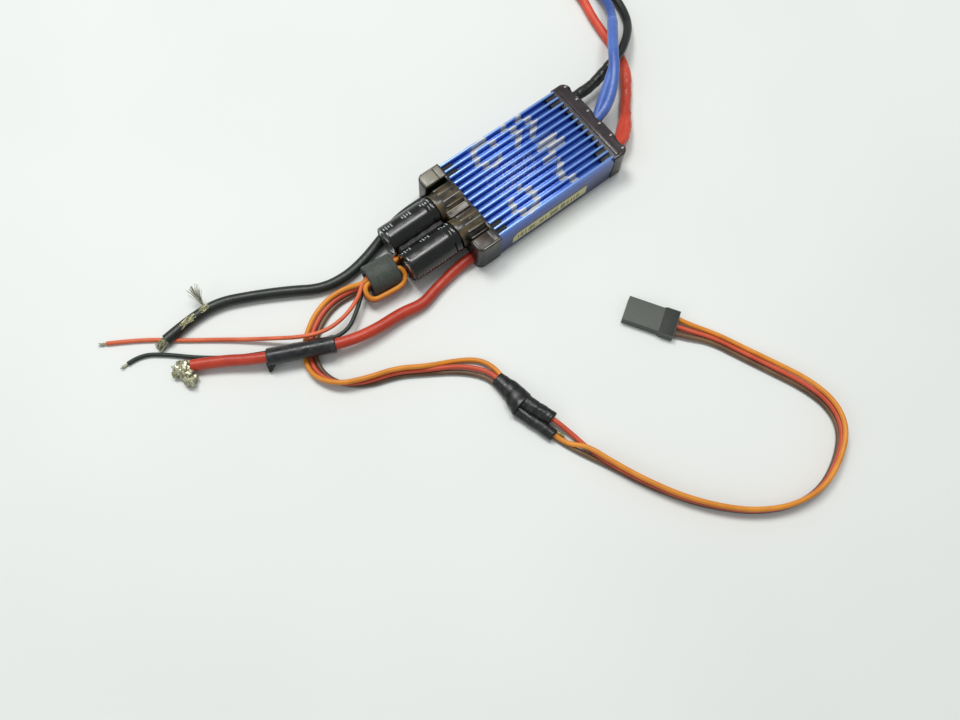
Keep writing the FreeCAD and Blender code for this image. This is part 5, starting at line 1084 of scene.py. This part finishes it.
# a second, shorter layer near the camera-side end and the torn flap at the far end
lay = [tape_ring(0.15 + 1.3 * i / 8, 2.2, 1.34, seed=3.0, amp=0.025) for i in range(9)]
inn = [tape_ring(1.4, 2.0, 1.14, amp=0.0), tape_ring(0.2, 2.0, 1.14, amp=0.0)]
full = lay + inn
vs = [p for r in full for p in r]
fs = [(i * n_ + j, i * n_ + (j + 1) % n_, ((i + 1) % len(full)) * n_ + (j + 1) % n_, ((i + 1) % len(full)) * n_ + j) for i in range(len(full)) for j in range(n_)]
edge = fix_normals(mesh_obj("tape_edge", vs, fs, [M["tape_edge"]]))
flap_rows = []
for i in range(9):
    f = i / 8
    row = []
    for j in range(7):
        g = j / 6
        a0 = V((-77.0, -1.9, 2.6)).lerp(V((-75.0, -4.6, 2.5)), g)
        tip = V((-77.75, -4.75, 0.75)).lerp(V((-77.2, -4.95, 0.7)), g)
        p = a0.lerp(tip, f ** 0.85)
        p.z += 0.35 * math.sin(f * 2.6 + g * 2) * (1 - f) + 0.05 * lump(p, 2.0, 1.0)
        p += V((0.12, 0.06, 0)) * lump(p, 3.0, 5.0)
        row.append(p)
    flap_rows.append(row)
vs = [p for r in flap_rows for p in r]
fs = [(i * 7 + j, i * 7 + j + 1, (i + 1) * 7 + j + 1, (i + 1) * 7 + j) for i in range(8) for j in range(6)]
flap = mesh_obj("tape_flap", vs, fs, [M["tape"]])
add_mod(flap, "SOLIDIFY", thickness=0.16 * MM, offset=0.0)
add_mod(flap, "SUBSURF", levels=1, render_levels=1)
bake(flap)
for p in flap.data.polygons:
    p.use_smooth = True
piece(join("tape_wrap", [tp, edge, flap]), ["battery_tape_wrap"])

# ---- splice: tapered front sleeve, scuffed upper tube and the lower tube with its joint
S0_, SD_, SQ_ = V((-32.8, -41.4, 0)), V((0.195, -0.981, 0)), V((0.981, 0.195, 0))


def spp(p, q, z):
    return S0_ + SD_ * p + SQ_ * q + V((0, 0, z))


def oval_sleeve(name, secs, wall, mats, n=56, amp=0.05, seed=0.0, per=10, lip=0.12, wr=0.0):
    """secs: (p, q, z, half width, half height) along the splice."""
    rows = []
    for i in range(len(secs) - 1):
        for k_ in range(per if i < len(secs) - 2 else per + 1):
            f = k_ / per
            f2 = f * f * (3 - 2 * f)
            rows.append([a + (b - a) * f2 if m_ else a + (b - a) * f for m_, (a, b) in enumerate(zip(secs[i], secs[i + 1]))])
    fulls = []

    def ring_(s, dw, push, noisy=True):
        p, q, z, a, b = s
        out = []
        for j in range(n):
            th = 2 * math.pi * j / n
            w_ = spp(p + push, q, z) + SQ_ * ((a - dw) * math.cos(th)) + V((0, 0, 1)) * ((b - dw) * math.sin(th))
            if noisy:
                d = SQ_ * math.cos(th) + V((0, 0, 1)) * math.sin(th)
                w_ = w_ + d * (amp * lump(w_, 0.7, seed) + wr * math.sin(p * 5.2 + th * 1.5 + seed) * (0.5 + lump(w_, 0.5, seed + 3)))
            w_.z = max(w_.z, 0.02)
            out.append(w_)
        return out
    full = [ring_(rows[0], 0.1, -lip * 0.6)] + [ring_(s, 0, 0) for s in rows] + [ring_(rows[-1], 0.1, lip * 0.6), ring_(rows[-1], wall * 0.6, lip, False), ring_(rows[-1], wall, 0, False)]
    full += [ring_(rows[len(rows) // 2], wall + 0.02, 0, False), ring_(rows[0], wall, 0, False), ring_(rows[0], wall * 0.6, -lip, False)]
    vs = [p for r in full for p in r]
    fs = [(i * n + j, i * n + (j + 1) % n, ((i + 1) % len(full)) * n + (j + 1) % n, ((i + 1) % len(full)) * n + j) for i in range(len(full)) for j in range(n)]
    return fix_normals(mesh_obj(name, vs, fs, mats))


fr = oval_sleeve("splice_front_boot", [(0.0, 0.0, 1.5, 2.0, 1.45), (2.0, -0.02, 1.6, 2.15, 1.55), (4.2, -0.1, 1.78, 2.6, 1.72), (7.0, -0.8, 2.1, 3.1, 2.05), (9.3, -1.4, 2.38, 3.5, 2.3)], 0.3, [M["scuffed"]], amp=0.09, seed=4.0)
piece(fr, ["splice_sleeve_front"])
up_s = oval_sleeve("splice_upper_tube", [(8.9, -0.35, 2.4, 2.1, 1.8), (12.0, -0.1, 2.4, 2.12, 1.8), (14.5, 0.3, 2.38, 2.05, 1.75), (17.4, 0.75, 2.3, 1.95, 1.7)], 0.33, [M["scuffed"]], amp=0.12, seed=8.0, wr=0.05)
piece(up_s, ["splice_sleeve_upper"])
lo_s = oval_sleeve("splice_lower_tube", [(8.9, -3.0, 1.62, 1.7, 1.58), (13.0, -2.7, 1.6, 1.68, 1.55), (17.0, -2.3, 1.58, 1.66, 1.55), (20.4, -2.1, 1.55, 1.6, 1.5)], 0.22, [M["scuffed"]], amp=0.08, seed=13.0, wr=0.03)
piece(lo_s, ["splice_sleeve_lower"])
dress("splice_joints", M["olive"])


# ---- bare strands of the cut leads
def strands(name, start, direction, r_bundle, n, length_, spread, dia, mat, seed, drop=0.0, curl=0.5, z_min=0.0, lift=0.0):
    rr = random.Random(seed)
    u = direction.normalized()
    a = u.cross(V((0, 0, 1))).normalized()
    b = a.cross(u)
    obs = []
    for i in range(n):
        th = rr.uniform(0, 2 * math.pi)
        r_ = r_bundle * math.sqrt(rr.random())
        p = start + a * (r_ * math.cos(th)) + b * (r_ * math.sin(th))
        L_ = length_ * rr.uniform(0.6, 1.0)
        q = []
        k1, k2 = rr.uniform(-curl, curl), rr.uniform(-curl, curl)
        for j in range(6):
            f = j / 5
            w_ = p + u * (L_ * f) + (a * math.cos(th) + b * math.sin(th)) * (spread * f * f * r_ / max(r_bundle, 1e-6)) + a * (k1 * f * f) + b * (k2 * f * f + lift * f * f) - V((0, 0, drop * f * f))
            w_.z = max(w_.z, z_min + dia / 2 + 0.01)
            q.append(w_)
        obs.append((q, dia))
    cu = bpy.data.curves.new(name, "CURVE")
    cu.dimensions = "3D"
    cu.bevel_depth = dia / 2 * MM
    cu.bevel_resolution = 2
    cu.use_fill_caps = True
    cu.resolution_u = 4
    for q, _ in obs:
        s = cu.splines.new("NURBS")
        s.points.add(len(q) - 1)
        for w_, pt in zip(q, s.points):
            pt.co = (w_.x * MM, w_.y * MM, w_.z * MM, 1)
        s.order_u = 3
        s.use_endpoint_u = True
    o = link(bpy.data.objects.new(name, cu))
    dg = bpy.context.evaluated_depsgraph_get()
    me = bpy.data.meshes.new_from_object(o.evaluated_get(dg), depsgraph=dg)
    bpy.data.objects.remove(o)
    bpy.data.curves.remove(cu)
    me.materials.clear()
    me.materials.append(mat)
    for p in me.polygons:
        p.use_smooth = True
    return link(bpy.data.objects.new(name, me))


def blob_mesh(name, centre, axes, seed, amp, mats, n=4, rough_=1.0):
    """A lumpy mass: an ico-sphere pushed about by noise; axes are three half-axis vectors."""
    bm = bmesh.new()
    bmesh.ops.create_icosphere(bm, subdivisions=n, radius=1.0)
    for v in bm.verts:
        d = v.co.copy()
        k_ = 1 + amp * noise.noise(d * 1.6 * rough_ + V((seed, seed, seed))) + amp * 0.5 * noise.noise(d * 4.5 * rough_ + V((seed, 0, seed)))
        p = centre + (axes[0] * d.x + axes[1] * d.y + axes[2] * d.z) * k_
        p.z = max(p.z, 0.02)
        v.co = p * MM
    me = bpy.data.meshes.new(name)
    bm.to_mesh(me)
    bm.free()
    for k_ in mats:
        me.materials.append(k_)
    for p in me.polygons:
        p.use_smooth = True
    return link(bpy.data.objects.new(name, me))


bl = ROUTES["battery_lead_black"]
e_, d_ = V(bl[-1]), (V(bl[-1]) - V(bl[-2])).normalized()
g1 = strands("end", e_ - d_ * 1.0, d_ - V((0, 0, 0.12)), 1.15, 60, 4.2, 0.25, 0.24, M["strand"], 21, 0.5, 0.25)
core = blob_mesh("core", e_ + d_ * 0.6 - V((0, 0, 0.1)), (d_ * 1.7, d_.cross(V((0, 0, 1))).normalized() * 1.0, V((0, 0, 1.0))), 5.0, 0.25, [M["olive"]], 4)
# the nick in the jacket with strands lying bare, and the tuft that stands up from it
ln = LINE["battery_lead_black"]
tot = length(ln)
nick = resample(ln, tot - 14.6, tot - 3.0, 0.5)
Fn = frames(nick)
patches = []
for i0, i1, th0, wd, sd in ((1, 8, 0.15, 0.55, 31), (10, 21, -0.15, 0.5, 33)):
    for j in range(9):
        rr = random.Random(sd * 10 + j)
        q = []
        for i in range(i0 + rr.randint(0, 2), i1 - rr.randint(0, 2)):
            t_, a_, b_ = Fn[i]
            th = math.pi / 2 + th0 + (j / 8 - 0.5) * 2 * wd + 0.12 * math.sin(i * 0.9 + j)
            dirv = a_ * math.cos(th) + b_ * math.sin(th)
            if dirv.z < 0:
                dirv = a_ * math.cos(th) - b_ * math.sin(th)
            q.append(nick[i] + dirv * (1.46 + 0.03 * rr.random()))
        if len(q) >= 4:
            patches.append(q)
cu = bpy.data.curves.new("nicks", "CURVE")
cu.dimensions = "3D"
cu.bevel_depth = 0.11 * MM
cu.bevel_resolution = 2
cu.use_fill_caps = True
cu.resolution_u = 3
for q in patches:
    s = cu.splines.new("NURBS")
    s.points.add(len(q) - 1)
    for w_, pt in zip(q, s.points):
        pt.co = (w_.x * MM, w_.y * MM, w_.z * MM, 1)
    s.order_u = 3
    s.use_endpoint_u = True
oc = link(bpy.data.objects.new("nicks", cu))
me = bpy.data.meshes.new_from_object(oc.evaluated_get(bpy.context.evaluated_depsgraph_get()))
bpy.data.objects.remove(oc)
bpy.data.curves.remove(cu)
me.materials.clear()
me.materials.append(M["olive"])
nicks = link(bpy.data.objects.new("nicks", me))
tuft = strands("tuft", V((-81.15, 19.7, 2.7)), V((-0.05, 5.2, 2.3)), 0.24, 44, 6.4, 1.1, 0.1, M["strand"], 41, 0.0, 1.1)
piece(join("black_lead_ends", [g1, core, nicks, tuft]), ["black_lead_strands"])

# the red lead's end: a messy mass of solder with wire ends standing out of it
ctr = V((-95.0, 7.3, 1.75))
b1 = blob_mesh("blob_a", ctr + V((0.5, 1.2, 0.35)), (V((2.0, 0.4, 0.2)), V((-0.4, 2.3, 0)), V((0, 0, 1.4))), 2.0, 0.42, [M["blob"]], 5, 0.8)
b2 = blob_mesh("blob_b", ctr + V((0.35, -1.5, -0.25)), (V((1.5, -0.7, 0)), V((0.6, 1.7, 0.1)), V((0, 0, 1.15))), 7.0, 0.45, [M["blob"]], 5, 0.9)
b3 = blob_mesh("blob_c", ctr + V((-1.5, 1.6, -0.2)), (V((1.1, 0.3, 0)), V((-0.2, 1.1, 0.1)), V((0, 0, 0.95))), 9.0, 0.4, [M["olive"]], 4, 0.9)
st = strands("spill", ctr + V((0.6, -1.2, 0.2)), V((-0.4, -1.0, -0.1)), 0.8, 34, 2.9, 0.5, 0.17, M["strand"], 55, 0.3, 0.5)
st2 = strands("spill2", ctr + V((1.6, 1.4, 0.3)), V((-1.0, 0.3, 0.05)), 0.95, 40, 4.2, 0.3, 0.18, M["strand"], 57, 0.4, 0.4)
piece(join("red_lead_mass", [b1, b2, b3, st, st2]), ["red_lead_solder"])

tips = []
for nm, sd in (("aux_wire_red", 61), ("aux_wire_black", 63)):
    r_ = ROUTES[nm]
    d_ = (V(r_[-1]) - V(r_[-2])).normalized()
    tips.append(strands("tip", V(r_[-1]) - d_ * 0.4, d_, 0.3, 14, 2.6, 0.12, 0.14, M["strand"], sd, 0.05, 0.12))
piece(join("aux_tips", tips), ["aux_wire_tips"])

# ---- servo plug housing with worn edges, a small dimple ring and a raised step
pl = copy_node("servo_plug_housing", "plug_shell", [M["plug"]], 0.14, 3, 30)
PC_, PA_ = V((13.68, -58.59, 0)), 2.13
pu, pv = V((math.cos(PA_), math.sin(PA_), 0)), V((-math.sin(PA_), math.cos(PA_), 0))


def plug_box(name, a0, a1, v0, v1, z0, z1, r=0.1):
    b_ = soft_box(name, (a0, v0, z0), (a1, v1, z1), r, 3, [M["plug"]])
    b_.data.transform(Matrix.Translation(PC_ * MM) @ Matrix.Rotation(PA_, 4, "Z"))
    return b_


nub = lathe("nub", PC_ + pu * 2.3 + pv * 0.6 + V((0, 0, 2.4)), V((0, 0, 1)), [(0.0, 0.28), (0.22, 0.3), (0.25, 0.36), (0.24, 0.5), (0.2, 0.56), (0.0, 0.56)], 32, [M["plug"]], closed=True)
add = [plug_box("step", 0.15, 4.1, -3.72, 3.72, 2.3, 2.66, 0.06), nub]
pl = join("plug_shell", [pl] + add)
piece(pl, ["servo_plug_housing"])


for nm, far, extra in (
        ("battery_lead_black", "bare", []), ("battery_lead_red", "bare", []), ("aux_wire_red", "bare", []), ("aux_wire_black", "bare", []),
        ("servo_lead_orange", "object", []), ("servo_lead_red", "object", []), ("servo_lead_brown", "object", []),
        ("plug_lead_orange", "plug", ["PLUG"]), ("plug_lead_red", "plug", ["PLUG"]), ("plug_lead_brown", "plug", ["PLUG"]),
        ("motor_lead_black", "connector", ["BULLET"]), ("motor_lead_blue", "connector", ["BULLET"]), ("motor_lead_red", "connector", ["BULLET"])):
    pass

# ------------------------------------------------------------------ floor and light
fl = mesh_obj("floor", [(-3000, -3000, 0), (3000, -3000, 0), (3000, 3000, 0), (-3000, 3000, 0)], [(0, 1, 2, 3)])
fm = Mat("floor_paper", color=srgb(226, 228, 226), rough=0.6)
fm.set("Base Color", fm.mix(fm.range(fm.noise(0.01, 2), 0.3, 0.7), srgb(217, 220, 217), srgb(222, 225, 222)))
fl.data.materials.append(fm.m)

w = bpy.data.worlds.new("studio")
scene.world = w
w.use_nodes = True
bg = w.node_tree.nodes["Background"]
bg.inputs["Color"].default_value = (0.95, 0.98, 1.0, 1)
bg.inputs["Strength"].default_value = 0.38


def area(name, loc, target, size, power, color=(1, 1, 1), size_y=None):
    L = bpy.data.lights.new(name, "AREA")
    L.energy = power
    L.color = color
    L.shape = "RECTANGLE"
    L.size = size
    L.size_y = size_y or size
    o = link(bpy.data.objects.new(name, L))
    d = (V(target) - V(loc)).normalized()
    o.rotation_euler = d.to_track_quat("-Z", "Y").to_euler()
    o.location = loc
    return o


area("key", (-0.02, 0.38, 0.84), (0.0, 0.0, 0.0), 0.26, 4.5, (1.0, 0.99, 0.97), 0.3)
area("top", (0.24, 0.1, 0.87), (0.0, 0.0, 0.0), 0.2, 2.5, (1.0, 1.0, 0.98), 0.3)
area("fill", (-0.75, 0.05, 0.55), (0.0, 0.0, 0.0), 0.5, 1.0, (0.95, 0.98, 1.0))
